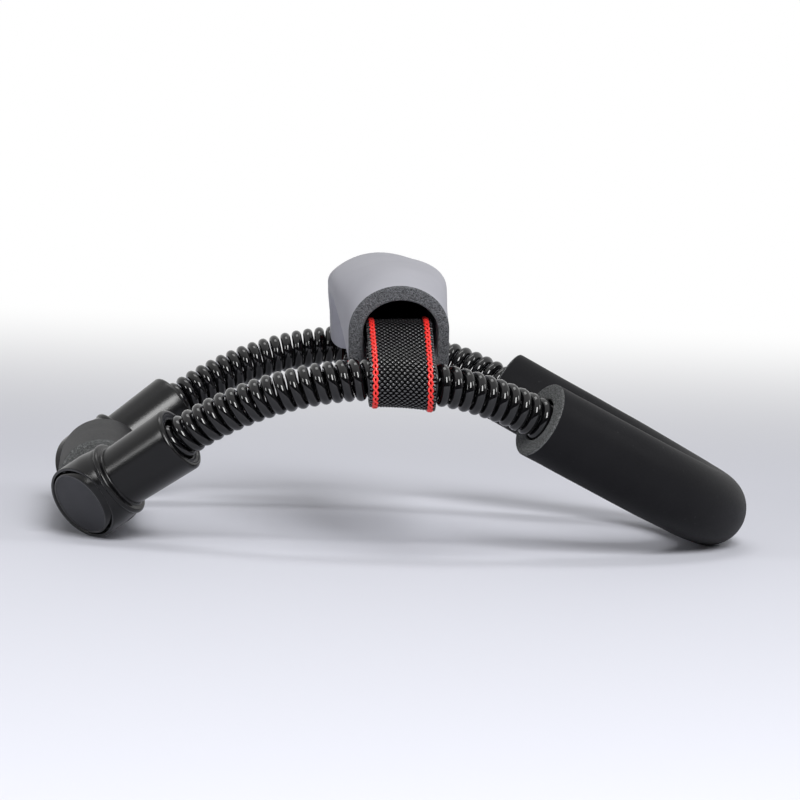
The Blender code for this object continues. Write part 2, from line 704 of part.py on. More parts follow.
def strap_half_path():
    # (y, z, follow) of the left half: over the wrist inside the pad, out of its end, round
    # the spring and back into the pad. Follow is 1 where the band leans with the spring.
    path = []
    stations = 16
    for index in range(stations + 1):
        part = index / stations
        point = arch_point(part, strap_lift(part)[3])
        path.append((point[1], point[2], 0.0))
    radius = COIL_OUTER / 2.0 + STRAP_LOOP_SLACK + STRAP_THICKNESS / 2.0
    leave = np.array(path[-1][:2])
    back = arch_point(1.0, strap_lift(1.0)[0])[1:]
    first = tangent_angle(leave, radius, True)
    last = tangent_angle(back, radius, False) + 2.0 * math.pi
    touch = SPRING_AT_BAND[1:] + radius * np.array([math.cos(first), math.sin(first)])
    for part in (0.33, 0.67):
        point = leave + (touch - leave) * part
        path.append((point[0], point[1], smoothstep(part)))
    pieces = 14
    for index in range(pieces + 1):
        turn = first + (last - first) * index / pieces
        point = SPRING_AT_BAND[1:] + radius * np.array([math.cos(turn), math.sin(turn)])
        path.append((point[0], point[1], 1.0))
    touch = np.array(path[-1][:2])
    for part in (0.33, 0.67):
        point = touch + (back - touch) * part
        path.append((point[0], point[1], smoothstep(1.0 - part)))
    steps = 8
    for index in range(steps + 1):
        part = 1.0 - (1.0 - RETURN_END) * index / steps
        point = arch_point(part, strap_lift(part)[0])
        path.append((point[1], point[2], 0.0))
    return path


def ribbon_rings(path, half_width, half_thickness, columns):
    # Rings of a flat band whose faces stay square to its path in the YZ plane
    rings = []
    for index, (y, z, follow) in enumerate(path):
        before = path[max(index - 1, 0)]
        after = path[min(index + 1, len(path) - 1)]
        along = unit(np.array([0.0, after[0] - before[0], after[1] - before[1]]))
        out = np.array([0.0, -along[2], along[1]])
        edge = []
        for column in range(columns):
            across = half_width * (2.0 * column / (columns - 1) - 1.0)
            drift = line_at_x(BAND_CENTRE + across) - SPRING_AT_BAND
            drift[1] *= -1.0 if y > 0.0 else 1.0
            place = np.array([BAND_CENTRE + across, y, z]) + follow * np.array([0.0, drift[1], drift[2]])
            edge.append(place)
        rings.append([place + out * half_thickness for place in edge]
                     + [place - out * half_thickness for place in reversed(edge)])
    return rings


def make_strap(name, made_of):
    left = strap_half_path()
    right = [(-y, z, follow) for y, z, follow in left[1:]]
    path = list(reversed(left)) + right
    rings = ribbon_rings(path, STRAP_WIDTH / 2.0, STRAP_THICKNESS / 2.0, 4)
    return finish_object(name, mesh_from_rings(name, rings), made_of)


def make_patch(name, side, layer, made_of):
    path = []
    steps = 5
    for index in range(steps + 1):
        part = PATCH_FROM + (PATCH_TO - PATCH_FROM) * index / steps
        point = arch_point(part, strap_lift(part)[layer])
        path.append((-side * point[1], point[2], 0.0))
    rings = ribbon_rings(path, PATCH_WIDTH / 2.0, PATCH_THICKNESS / 2.0, 2)
    return finish_object(name, mesh_from_rings(name, rings), made_of)


def axis_empty(name, place, parent=None):
    # An empty on a joint's axis, placed in the frame that the pieces are made in
    empty = bpy.data.objects.new(name, None)
    empty.empty_display_size = 0.01
    bpy.context.collection.objects.link(empty)
    empty.matrix_world = Matrix.Translation(Vector(place) * MILLIMETRE)
    if parent:
        hang([empty], parent)
    return empty


def hang(things, parent):
    # Parent pieces where they are
    bpy.context.view_layer.update()
    for thing in things:
        thing.parent = parent
        thing.matrix_parent_inverse = parent.matrix_world.inverted()


def world_points(things):
    graph = bpy.context.evaluated_depsgraph_get()
    clouds = []
    for thing in things:
        shape = thing.evaluated_get(graph)
        mesh = shape.to_mesh()
        points = np.empty(len(mesh.vertices) * 3)
        mesh.vertices.foreach_get("co", points)
        matrix = np.array(shape.matrix_world)
        clouds.append(points.reshape(-1, 3) @ matrix[:3, :3].T + matrix[:3, 3])
        shape.to_mesh_clear()
    return np.concatenate(clouds)


def resting_pitch(points):
    # Turn about Y at which the front and the rear both touch the floor
    low, high = math.radians(-15.0), math.radians(15.0)
    middle = (points[:, 0].min() + points[:, 0].max()) / 2.0
    front = points[points[:, 0] < middle]
    rear = points[points[:, 0] >= middle]
    for _ in range(50):
        pitch = (low + high) / 2.0
        front_low = (front[:, 2] * math.cos(pitch) - front[:, 0] * math.sin(pitch)).min()
        rear_low = (rear[:, 2] * math.cos(pitch) - rear[:, 0] * math.sin(pitch)).min()
        if rear_low < front_low:
            high = pitch
        else:
            low = pitch
    return (low + high) / 2.0


for old in list(bpy.data.objects):
    bpy.data.objects.remove(old)

BLACK_COIL = material("black_coated_spring", (0.012, 0.012, 0.014), 0.22, 0.3)
BLACK_PLASTIC = material("satin_black_plastic", (0.018, 0.018, 0.020), 0.34)
COVER_PLASTIC = material("dark_grey_cover", (0.055, 0.056, 0.062), 0.55)
BLACK_FOAM = material("black_foam", (0.020, 0.020, 0.022), 0.80)
PAD_FOAM = material("pad_foam", (0.30, 0.30, 0.34), 0.75)
BRIGHT_STEEL = material("steel", (0.55, 0.56, 0.58), 0.30, 1.0)
WEBBING = material("black_webbing", (0.015, 0.015, 0.016), 0.60)
HOOK_TAPE = material("hook_tape", (0.03, 0.03, 0.032), 0.85)

WIRE_POINTS = coil_points()
print("least gap between curls:", round(least_self_gap(WIRE_POINTS), 3), "mm")

handle_pieces = [
    make_handle_bar("handle_bar", BRIGHT_STEEL),
    make_handle_grip("handle_grip", BLACK_FOAM),
]
spring_pieces = []
strap_pieces = [make_strap("webbing_strap", WEBBING)]
for label, which in SIDES.items():
    handle_pieces += [
        make_fitting("corner_fitting_" + label, which, BLACK_PLASTIC),
        make_cover("corner_cover_" + label, which, COVER_PLASTIC),
        make_plug("spring_plug_" + label, which, BRIGHT_STEEL),
        make_screw("clamp_screw_" + label, which, BRIGHT_STEEL),
        make_washer("clamp_washer_" + label, which, BRIGHT_STEEL),
        make_pin("bar_pin_" + label, which, BRIGHT_STEEL),
    ]
    spring_pieces.append(make_spring("side_spring_" + label, which, BLACK_COIL, WIRE_POINTS))
    strap_pieces += [
        make_patch("hook_patch_" + label, which, 1, HOOK_TAPE),
        make_patch("loop_patch_" + label, which, 2, HOOK_TAPE),
    ]
rest_pieces = [
    make_arm_rest_foam("arm_rest_foam", BLACK_FOAM),
    make_rear_bow("rear_bow", BRIGHT_STEEL),
]
pad_pieces = [make_wrist_pad("wrist_pad", PAD_FOAM)]

# The trainer comes apart at its flexing springs, its sliding strap and its turning pad
middle = np.array([1.0, 0.0, 1.0])
trainer = axis_empty("trainer", (0.0, 0.0, 0.0))
flex_rear = axis_empty("flex_rear_axis", LINE.at(SPRING_SHOWN * REAR_FLEX_AT) * middle, trainer)
flex_front = axis_empty("flex_front_axis", LINE.at(SPRING_SHOWN * FRONT_FLEX_AT) * middle, flex_rear)
strap_slide = axis_empty("strap_slide_axis", SPRING_AT_BAND * middle, flex_rear)
pad_turn = axis_empty("pad_turn_axis", (BAND_CENTRE, 0.0, ARCH_CENTRE_Z), strap_slide)
hang(rest_pieces, trainer)
hang(spring_pieces, flex_rear)
hang(handle_pieces, flex_front)
hang(strap_pieces, strap_slide)
hang(pad_pieces, pad_turn)

pieces = rest_pieces + spring_pieces + handle_pieces + strap_pieces + pad_pieces
bpy.context.view_layer.update()
trainer.rotation_euler.y = resting_pitch(world_points(pieces))
bpy.context.view_layer.update()
cloud = world_points(pieces)
centre = (cloud.min(axis=0) + cloud.max(axis=0)) / 2.0
trainer.location = (-centre[0], -centre[1], -cloud[:, 2].min())
bpy.context.view_layer.update()
print("pitch:", round(math.degrees(trainer.rotation_euler.y), 3), "degrees")
print("size:", [round(float(side), 4) for side in cloud.max(axis=0) - cloud.min(axis=0)])
for empty in (flex_rear, flex_front, strap_slide, pad_turn):
    print(empty.name, [round(float(value), 5) for value in empty.matrix_world.translation])
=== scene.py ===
import itertools
import json
import math

import bmesh
import bpy
import numpy as np
from mathutils import Matrix, Vector, noise


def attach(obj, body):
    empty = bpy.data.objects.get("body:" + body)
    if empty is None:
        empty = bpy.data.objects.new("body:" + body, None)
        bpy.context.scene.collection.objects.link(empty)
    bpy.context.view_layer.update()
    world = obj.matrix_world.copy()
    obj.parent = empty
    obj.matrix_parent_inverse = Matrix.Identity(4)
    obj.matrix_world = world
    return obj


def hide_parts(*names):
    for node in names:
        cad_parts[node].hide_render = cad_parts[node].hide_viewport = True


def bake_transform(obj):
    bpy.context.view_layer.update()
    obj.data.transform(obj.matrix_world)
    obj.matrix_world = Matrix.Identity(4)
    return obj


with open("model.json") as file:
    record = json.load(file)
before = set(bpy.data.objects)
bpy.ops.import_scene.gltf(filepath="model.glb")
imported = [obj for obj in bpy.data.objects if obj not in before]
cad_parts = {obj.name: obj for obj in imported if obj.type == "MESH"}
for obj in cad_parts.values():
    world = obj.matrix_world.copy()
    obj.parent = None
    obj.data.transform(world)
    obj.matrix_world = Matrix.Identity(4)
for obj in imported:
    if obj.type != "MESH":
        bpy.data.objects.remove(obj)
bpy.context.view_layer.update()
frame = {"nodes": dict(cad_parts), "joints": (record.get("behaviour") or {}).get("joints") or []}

# Wrist trainer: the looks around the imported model.
# Shapes are worked out in millimetres in the trainer's own frame: the origin lies midway between
# the two sleeve mouths, X runs towards the forearm rest. stood() turns them into the model's frame.

millimetre = 0.001
joints = {joint["name"]: joint for joint in frame["joints"]}
sides = {"left": -1, "right": 1}     # left is -Y
sideways = np.array([0.0, 1.0, 0.0])


def smoothstep(value):
    value = np.clip(value, 0.0, 1.0)
    return value * value * (3.0 - 2.0 * value)


def unit(vectors):
    vectors = np.asarray(vectors, dtype=float)
    return vectors / np.linalg.norm(vectors, axis=-1, keepdims=True)


def squared(vectors, direction):
    # Unit vectors square to the directions
    return unit(vectors - direction * np.sum(vectors * direction, axis=-1, keepdims=True))


def lookUp(at, known, table):
    # Every column of the table at the given places
    return np.stack([np.interp(at, known, column) for column in table.T], axis=-1)


def runLength(points):
    return np.concatenate([[0.0], np.cumsum(np.linalg.norm(np.diff(points, axis=0), axis=1))])


def fullTurn(count):
    return 2.0 * np.pi * np.arange(count) / count


# The line that both side springs follow

springLine = {
    "shownLength": 117.6,        # sleeve mouth to foam face
    "mouthHalfSpacing": 68.0,
    "frontRise": 32.0,           # degrees
    "rearFall": 28.0,
    "frontSplay": 22.6,
    "rearClose": 21.8,
    "riseFocus": 1.0,
    "splayFocus": 1.5,
    "overrun": 60.0,             # straight part past each end
    "step": 0.5,
    "rearFlexAt": 0.80,          # the rear joint's place, as part of the shown length
}


def heading(part):
    # Direction of the line at a part of its shown length
    wave = np.sin(2.0 * np.pi * part)
    line = springLine
    rise, splayed = line["frontRise"], line["frontSplay"]
    slope = rise - (rise + line["rearFall"]) * part + line["riseFocus"] * wave
    splay = -splayed + (splayed + line["rearClose"]) * part - line["splayFocus"] * wave
    slope, splay = np.radians(slope), np.radians(splay)
    return np.stack([np.cos(slope) * np.cos(splay), np.cos(slope) * np.sin(splay), np.sin(slope)], axis=-1)


def layLine():
    length, overrun = springLine["shownLength"], springLine["overrun"]
    steps = round(length / springLine["step"])
    step = length / steps
    foot = sideways * -springLine["mouthHalfSpacing"]
    middles = heading((np.arange(steps) + 0.5) / steps) * step
    shown = foot + np.vstack([np.zeros(3), np.cumsum(middles, axis=0)])
    directions = heading(np.arange(steps + 1) / steps)
    points = np.vstack([foot - directions[0] * overrun, shown, shown[-1] + directions[-1] * overrun])
    directions = np.vstack([directions[0], directions, directions[-1]])
    distances = np.concatenate([[-overrun], np.arange(steps + 1) * step, [length + overrun]])
    normal = unit(np.cross(directions[0], sideways))
    normals = []
    for direction in directions:
        normal = squared(normal, direction)
        normals.append(normal)
    return distances, points, directions, np.array(normals)


lineDistances, linePoints, lineDirections, lineNormals = layLine()


def lineAt(distance, table=linePoints):
    return lookUp(distance, lineDistances, table)


def lineAtX(x):
    return lookUp(x, linePoints[:, 0], linePoints)


# How the trainer stands: its X axis is the pad's turning axis, its place comes from the rear joint
levelX, _, levelZ = joints["pad_turn"]["axis"]
standTurn = np.array([[levelX, 0.0, -levelZ], [0.0, 1.0, 0.0], [levelZ, 0.0, levelX]])
rearJointPlace = lineAt(springLine["shownLength"] * springLine["rearFlexAt"]) * (1.0, 0.0, 1.0)
standPlace = np.array(joints["flex_rear"]["pos_m"]) - standTurn @ rearJointPlace * millimetre


def stood(points):
    return np.asarray(points) @ standTurn.T * millimetre + standPlace


def toSide(points, side):
    return np.asarray(points) * (1.0, -side, 1.0)


# Mesh helpers

def gridMesh(name, grids, wrapRows=False):
    # One mesh from one or more grids of rings; open grids get end faces
    build = bmesh.new()
    for grid in grids:
        rows, columns = grid.shape[:2]
        corners = [build.verts.new(point) for point in grid.reshape(-1, 3)]
        index = np.arange(rows * columns).reshape(rows, columns)
        below = index if wrapRows else index[:-1]
        above = np.roll(index, -1, axis=0)[:len(below)]
        faces = np.stack([below, np.roll(below, -1, axis=1), np.roll(above, -1, axis=1), above], axis=-1)
        for face in faces.reshape(-1, 4):
            build.faces.new([corners[corner] for corner in face])
        if not wrapRows:
            build.faces.new(corners[:columns])
            build.faces.new(corners[-columns:])
    bmesh.ops.recalc_face_normals(build, faces=build.faces)
    mesh = bpy.data.meshes.new(name)
    build.to_mesh(mesh)
    build.free()
    return mesh


def newObject(name, data):
    thing = bpy.data.objects.new(name, data)
    bpy.context.scene.collection.objects.link(thing)
    return thing


def makePiece(name, mesh, materials, sharpAngle):
    for material in materials:
        mesh.materials.append(finishes[material])
    mesh.shade_smooth()
    mesh.set_sharp_from_angle(angle=math.radians(sharpAngle))
    return newObject(name, mesh)


def sweep(points, across, up, radius, count):
    # Rings of wire round a path, from two directions square to it, which are one for each point or
    # the same all the way
    turns = fullTurn(count)[:, None]
    ring = np.cos(turns) * np.expand_dims(across, -2) + np.sin(turns) * np.expand_dims(up, -2)
    return points[:, None] + ring * np.broadcast_to(radius, len(points))[:, None, None]


def softNoise(points, size, seed=0.0):
    # Smooth noise from -1 to 1, with features of about the given size in the points' own unit
    flat = np.asarray(points).reshape(-1, 3) / size + seed
    values = np.array([noise.noise(Vector(place)) for place in flat])
    return values.reshape(np.asarray(points).shape[:-1])


# Node helpers

def addNode(tree, kind, inputs=None, **settings):
    node = tree.nodes.new(kind)
    for key, value in settings.items():
        setattr(node, key, value)
    for key, value in (inputs or {}).items():
        if isinstance(value, bpy.types.NodeSocket):
            tree.links.new(value, node.inputs[key])
        else:
            node.inputs[key].default_value = value
    return node


def newMaterial(name, values):
    made = bpy.data.materials.new(name)
    made.use_nodes = True
    surface = made.node_tree.nodes["Principled BSDF"]
    for key, value in values.items():
        surface.inputs[key].default_value = value
    return made, made.node_tree, surface


def mixTones(tree, factor, first, second):
    # Each tone is a colour or an output that gives one
    tones = [tone if isinstance(tone, bpy.types.NodeSocket) else (*tone, 1.0) for tone in (first, second)]
    node = addNode(tree, "ShaderNodeMix", {"Factor": factor, 6: tones[0], 7: tones[1]}, data_type="RGBA")
    return node.outputs[2]


# Shared effects. Sizes are feature sizes in metres.

def startGroup(name, inputs, outputs):
    # A group with its named sockets, and the object coordinates in it
    tree = bpy.data.node_groups.new(name, "ShaderNodeTree")
    for label, default in inputs.items():
        socket = tree.interface.new_socket(label, in_out="INPUT", socket_type="NodeSocketFloat")
        socket.default_value = default
    for label in outputs:
        tree.interface.new_socket(label, in_out="OUTPUT", socket_type="NodeSocketFloat")
    given, out = addNode(tree, "NodeGroupInput").outputs, addNode(tree, "NodeGroupOutput").inputs
    place = addNode(tree, "ShaderNodeTexCoord").outputs["Object"]
    return tree, given, out, place


def maths(tree, operation, first, second):
    return addNode(tree, "ShaderNodeMath", {0: first, 1: second}, operation=operation).outputs[0]


def inverse(tree, value):
    return maths(tree, "DIVIDE", 1.0, value)


def clouds(tree, place, scale, detail, roughness=0.5):
    return addNode(tree, "ShaderNodeTexNoise", {"Vector": place, "Scale": scale, "Detail": detail,
                                                "Roughness": roughness}).outputs["Fac"]


def mapped(tree, value, low=0.0, high=1.0, start=0.0, end=1.0, smooth=False):
    return addNode(tree, "ShaderNodeMapRange", {"Value": value, "From Min": start, "From Max": end,
                                                "To Min": low, "To Max": high},
                   interpolation_type="SMOOTHSTEP" if smooth else "LINEAR").outputs["Result"]


def grainGroup():
    tree, given, out, place = startGroup("moulded grain", {"Size": 0.0004, "Patch Size": 0.02},
                                         ["Grain", "Patch"])
    tree.links.new(clouds(tree, place, inverse(tree, given["Size"]), 3.0), out["Grain"])
    tree.links.new(clouds(tree, place, inverse(tree, given["Patch Size"]), 2.0), out["Patch"])
    return tree


def cellGroup():
    tree, given, out, place = startGroup("foam cells", {"Size": 0.0006}, ["Height", "Shade"])
    scale = inverse(tree, given["Size"])
    cells = addNode(tree, "ShaderNodeTexVoronoi", {"Vector": place, "Scale": scale}, feature="SMOOTH_F1")
    both = maths(tree, "ADD", cells.outputs["Distance"], clouds(tree, place, scale, 4.0))
    tree.links.new(both, out["Height"])
    tree.links.new(mapped(tree, both, start=0.55, end=1.25), out["Shade"])
    return tree


def lintGroup():
    tree, given, out, place = startGroup("lint", {"Size": 0.0012, "Amount": 0.1}, ["Mask"])
    specks = clouds(tree, place, inverse(tree, given["Size"]), 6.0, 0.7)
    mask = maths(tree, "MULTIPLY", mapped(tree, specks, start=0.66, end=0.74), given["Amount"])
    tree.links.new(mask, out["Mask"])
    return tree


def fibreGroup():
    tree, given, out, place = startGroup("fibres", {"Size": 0.00022, "Stretch": 6.0}, ["Height", "Shade"])
    slow = inverse(tree, given["Stretch"])
    squeeze = addNode(tree, "ShaderNodeCombineXYZ", {"X": 1.0, "Y": slow, "Z": slow}).outputs[0]
    drawn = addNode(tree, "ShaderNodeVectorMath", {0: place, 1: squeeze}, operation="MULTIPLY").outputs[0]
    lines = clouds(tree, drawn, inverse(tree, given["Size"]), 2.0)
    tree.links.new(lines, out["Height"])
    tree.links.new(lines, out["Shade"])
    return tree


grain, cells, lint, fibres = grainGroup(), cellGroup(), lintGroup(), fibreGroup()
print("shared effects built")


def makeFinish(name, effects, shader, tone, bump, roughness=None, specks=None):
    # tone, bump and roughness begin with the group output that they follow, and specks is the
    # colour of lint over the tone
    made, tree, surface = newMaterial(name, shader)
    outputs = {}
    for group, values in effects:
        node = addNode(tree, "ShaderNodeGroup", node_tree=group)
        for key, value in values.items():
            node.inputs[key].default_value = value
        outputs.update({socket.name: socket for socket in node.outputs})
    colour = mixTones(tree, outputs[tone[0]], *tone[1:])
    if specks:
        colour = mixTones(tree, outputs["Mask"], colour, specks)
    tree.links.new(colour, surface.inputs["Base Color"])
    if roughness:
        tree.links.new(mapped(tree, outputs[roughness[0]], *roughness[1:]), surface.inputs["Roughness"])
    relief = addNode(tree, "ShaderNodeBump", {"Height": outputs[bump[0]], "Strength": bump[1],
                                              "Distance": bump[2]})
    tree.links.new(relief.outputs["Normal"], surface.inputs["Normal"])
    return made


foamSkin = {
    "effects": [(grain, {"Size": 0.0007, "Patch Size": 0.018}), (lint, {"Size": 0.002, "Amount": 0.15})],
    "shader": {"Specular IOR Level": 0.05},
    "specks": (0.35, 0.35, 0.36),
    "bump": ("Grain", 0.22, 0.0002),
}
foamCut = {
    "effects": [(cells, {"Size": 0.00035})],
    "shader": {"Roughness": 0.9, "Specular IOR Level": 0.2},
    "bump": ("Height", 0.8, 0.0003),
}
thread = {"effects": [(fibres, {"Size": 0.00018, "Stretch": 5.0})], "bump": ("Height", 0.2, 0.00005)}
finishTable = {
    "coated spring": {
        "effects": [(grain, {"Size": 0.0011, "Patch Size": 0.012}),
                    (lint, {"Size": 0.0015, "Amount": 0.25})],
        "shader": {"Coat Weight": 1.0, "Coat Roughness": 0.06, "Specular IOR Level": 0.0},
        "tone": ("Mask", (0.003, 0.003, 0.0035), (0.03, 0.03, 0.033)),
        "roughness": ("Patch", 0.16, 0.30),
        "bump": ("Grain", 0.10, 0.0001),
    },
    "satin black plastic": {
        "effects": [(grain, {"Size": 0.00035, "Patch Size": 0.015}),
                    (lint, {"Size": 0.0018, "Amount": 0.2})],
        "shader": {"Specular IOR Level": 0.36},
        "tone": ("Mask", (0.002, 0.002, 0.0024), (0.03, 0.03, 0.033)),
        "roughness": ("Patch", 0.20, 0.29),
        "bump": ("Grain", 0.12, 0.0001),
    },
    "matte cover plastic": {
        "effects": [(grain, {"Size": 0.00022, "Patch Size": 0.01})],
        "shader": {"Specular IOR Level": 0.2},
        "tone": ("Patch", (0.026, 0.026, 0.030), (0.036, 0.037, 0.042)),
        "roughness": ("Grain", 0.44, 0.62),
        "bump": ("Grain", 0.25, 0.0001),
    },
    "black foam skin": {
        **foamSkin,
        "tone": ("Patch", (0.008, 0.008, 0.009), (0.013, 0.013, 0.0145)),
        "roughness": ("Grain", 0.42, 0.58),
    },
    "grey pad skin": {
        **foamSkin,
        "tone": ("Patch", (0.39, 0.39, 0.43), (0.45, 0.45, 0.49)),
        "roughness": ("Grain", 0.47, 0.63),
    },
    "black foam cut": {**foamCut, "tone": ("Shade", (0.012, 0.012, 0.013), (0.16, 0.165, 0.165))},
    "pad foam cut": {**foamCut, "tone": ("Shade", (0.012, 0.012, 0.013), (0.17, 0.175, 0.185))},
    "black webbing": {
        **thread,
        "shader": {"Specular IOR Level": 1.0},
        "tone": ("Shade", (0.012, 0.012, 0.0125), (0.050, 0.050, 0.052)),
        "roughness": ("Shade", 0.08, 0.28),
    },
    # Painted shade: a near-black, dull finish for the low faces between the yarns and for the band's end
    # faces
    "webbing painted shade": {
        **thread,
        "shader": {"Specular IOR Level": 0.03},
        "tone": ("Shade", (0.0005, 0.0005, 0.0006), (0.001, 0.001, 0.0012)),
        "roughness": ("Shade", 0.6, 0.8),
    },
    "red thread": {
        **thread,
        "shader": {"Specular IOR Level": 0.6},
        "tone": ("Shade", (0.62, 0.012, 0.010), (0.95, 0.045, 0.035)),
        "roughness": ("Shade", 0.2, 0.4),
    },
    "hook tape": {
        **thread,
        "shader": {"Specular IOR Level": 0.3},
        "tone": ("Shade", (0.012, 0.012, 0.013), (0.045, 0.045, 0.048)),
        "roughness": ("Shade", 0.6, 0.8),
    },
    "brushed steel": {
        "effects": [(fibres, {"Size": 0.00012, "Stretch": 12.0}),
                    (grain, {"Size": 0.002, "Patch Size": 0.01})],
        "shader": {"Metallic": 1.0},
        "tone": ("Patch", (0.45, 0.46, 0.48), (0.62, 0.63, 0.65)),
        "roughness": ("Shade", 0.22, 0.42),
        "bump": ("Height", 0.15, 0.00005),
    },
}
finishes = {name: makeFinish(name, **values) for name, values in finishTable.items()}
print("finishes built")


# Side springs

spring = {
    "wire": 3.0,
    "coated": 3.35,            # wire with its coating
    "outer": 13.0,
    "pitch": 3.7,
    "frontSeat": 8.7,          # spring end inside the sleeve
    "rearSeat": 12.0,          # spring end inside the foam
    "turnDown": 6.5,           # wire run in which each end turns along the spring
    "turnPoints": 24,
    "curlPoints": 56,
    "wireSides": 14,
    "rearBend": (36.7, 6.0),   # model X limits of the rear part's bend zone
    "frontBend": (-19.0, -71.8),
}
bandCentre = 66.5              # strap and pad, behind the sleeve mouths


def coilPath():
    # (distance along the spring, turn) of the wire: straight in its seat, turned down, wound
    radius = (spring["outer"] - spring["coated"]) / 2.0
    start = -spring["frontSeat"]
    end = springLine["shownLength"] + spring["rearSeat"]
    lean = math.atan2(spring["pitch"], 2.0 * math.pi * radius)
    bends = spring["turnPoints"]
    angles = lean + (math.pi / 2.0 - lean) * (1.0 - smoothstep((np.arange(bends) + 0.5) / bends))
    piece = spring["turnDown"] / bends
    along = spring["wire"] + np.cumsum(np.sin(angles) * piece)
    along = np.concatenate([[0.0, spring["wire"]], along])
    turn = np.concatenate([[0.0, 0.0], np.cumsum(np.cos(angles) * piece / radius)])
    wound = end - start - 2.0 * along[-1]
    curls = wound / spring["pitch"]
    steps = round(curls * spring["curlPoints"])
    share = np.arange(1, steps) / steps
    woundTurn = curls * 2.0 * math.pi
    distance = np.concatenate([start + along, start + along[-1] + wound * share, (end - along)[::-1]])
    turned = np.concatenate([turn, turn[-1] + woundTurn * share, (2.0 * turn[-1] + woundTurn - turn)[::-1]])
    return distance, turned, radius


def makeSprings():
    distance, turned, radius = coilPath()
    direction = unit(lineAt(distance, lineDirections))
    normal = squared(lineAt(distance, lineNormals), direction)
    spoke = np.cos(turned)[:, None] * normal + np.sin(turned)[:, None] * np.cross(direction, normal)
    points = lineAt(distance) + spoke * radius
    along = unit(np.gradient(points, axis=0))
    spoke = squared(spoke, along)
    up = np.cross(along, spoke)
    cut = np.searchsorted(distance, np.interp(bandCentre, linePoints[:, 0], lineDistances))
    runs = {
        "front": (slice(0, cut + 1), "springs", "handle", spring["frontBend"]),
        "rear": (slice(cut, None), "arm_rest", "springs", spring["rearBend"]),
    }
    for sideName, which in sides.items():
        for runName, (run, first, second, bend) in runs.items():
            rings = sweep(points[run], spoke[run], up[run], spring["coated"] / 2.0, spring["wireSides"])
            name = sideName + "Spring" + runName.capitalize()
            mesh = gridMesh(name, [stood(toSide(rings, which))])
            piece = makePiece(name, mesh, ["coated spring"], 60.0)
            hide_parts("side_spring_" + sideName)
            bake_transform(piece)


makeSprings()
print("springs wound")


# Corner fittings: sleeve, bead and a cap cut off at an angle, with a boss for the handle bar

fitting = {
    "sleeveLength": 24.3,
    "mouthRadius": 10.3,
    "neckRadius": 9.7,
    "mouthRound": 1.3,
    "lipInner": 8.3,           # inner edge of the raised lip round the mouth
    "lipHeight": 0.45,
    "lipRound": 0.25,
    "beadRadius": 12.0,
    "beadWidth": 1.8,
    "capNeckRadius": 11.6,
    "capRadius": 12.3,
    "capFlare": 6.0,
    "capLength": 14.6,         # bead centre to the middle of the slanted end
    "capWall": 0.9,            # round the recess for the cover
    "cutAngle": 46.5,          # slanted end, from square across the cap
    "rimRound": 0.5,
    "rimInnerRound": 0.2,
    "boreRadius": 6.8,
    "boreDepth": 20.0,
    "boreChamfer": 0.4,
    "easing": 0.6,             # round in the bore's mouth and under the bead
    "seam": 0.05,              # between the bead and the rounds beside it
    "shoulderRound": 0.12,
    "headSeat": 27.0,
    "headHoleRadius": 4.3,
    "shankHoleRadius": 2.3,
    "bossRadius": 10.0,
    "bossStart": 7.0,
    "bossReach": 18.2,
    "bossRound": 0.9,
    "bossSides": 96,
    "pocketWall": 0.6,         # between the boss and the cover's pocket
    "barSetback": 7.8,
    "barStop": 9.5,
    "socketRadius": 6.3,
    "socketSides": 64,
    "pinRadius": 1.5,
    "pinGap": 0.3,
    "pinRound": 0.5,
    "pinInset": 0.4,           # pin end below the boss's skin
    "pinSides": 32,
    "pinSetback": 4.0,
    "overshoot": 2.0,          # of the tools that cut the socket and the pin's hole
    "columns": 160,
}
cover = {
    "angle": 44.0,             # face of the cover, from square across the cap
    "proud": 0.8,              # face above the cap's end, along the sleeve
    "thickness": 2.4,
    "gap": 0.3,                # under the cover
    "sideGap": 0.7,
    "edgeRound": 0.35,
    "edgeWidth": 0.6,          # fine raised edge round the face
    "edgeHeight": 0.14,
    "columns": 144,
}
cutSlope = math.tan(math.radians(fitting["cutAngle"]))
coverTurn = math.radians(cover["angle"])
capEnd = fitting["sleeveLength"] + fitting["capLength"]
coverFace = capEnd + cover["proud"]
pocketFloor = coverFace - (cover["thickness"] + cover["gap"]) / math.cos(coverTurn)
pocketRadius = fitting["capRadius"] - fitting["capWall"]
crossing = np.array([0.0, 0.0, capEnd - fitting["barSetback"]])
elbow = math.acos(np.dot(heading(0.0), sideways))
barInward = np.array([-math.sin(elbow), 0.0, -math.cos(elbow)])
pinCentre = crossing + barInward * (fitting["bossReach"] - fitting["pinSetback"])


def fittingTurn(side):
    # Columns: away from the middle, sideways, forward along the sleeve
    forward = toSide(-heading(0.0), side)
    across = squared(sideways * side, forward)
    return np.stack([across, np.cross(forward, across), forward], axis=1)


def fromFitting(points, side):
    foot = sideways * springLine["mouthHalfSpacing"] * side
    return stood(np.asarray(points) @ fittingTurn(side).T + foot)


def arc(centre, radius, start, end, count):
    # (radius, height) points of an arc in the turned section, angles in degrees
    turns = np.radians(np.linspace(start, end, count))
    return [(centre[0] + radius * math.cos(turn), centre[1] + radius * math.sin(turn)) for turn in turns]


def slantedRing(turns, radius, height, slope):
    # A ring about the sleeve's axis in a plane with a slope; the height is its centre's
    across = radius * np.cos(turns)
    return np.stack([across, radius * np.sin(turns), height - slope * across], axis=1)


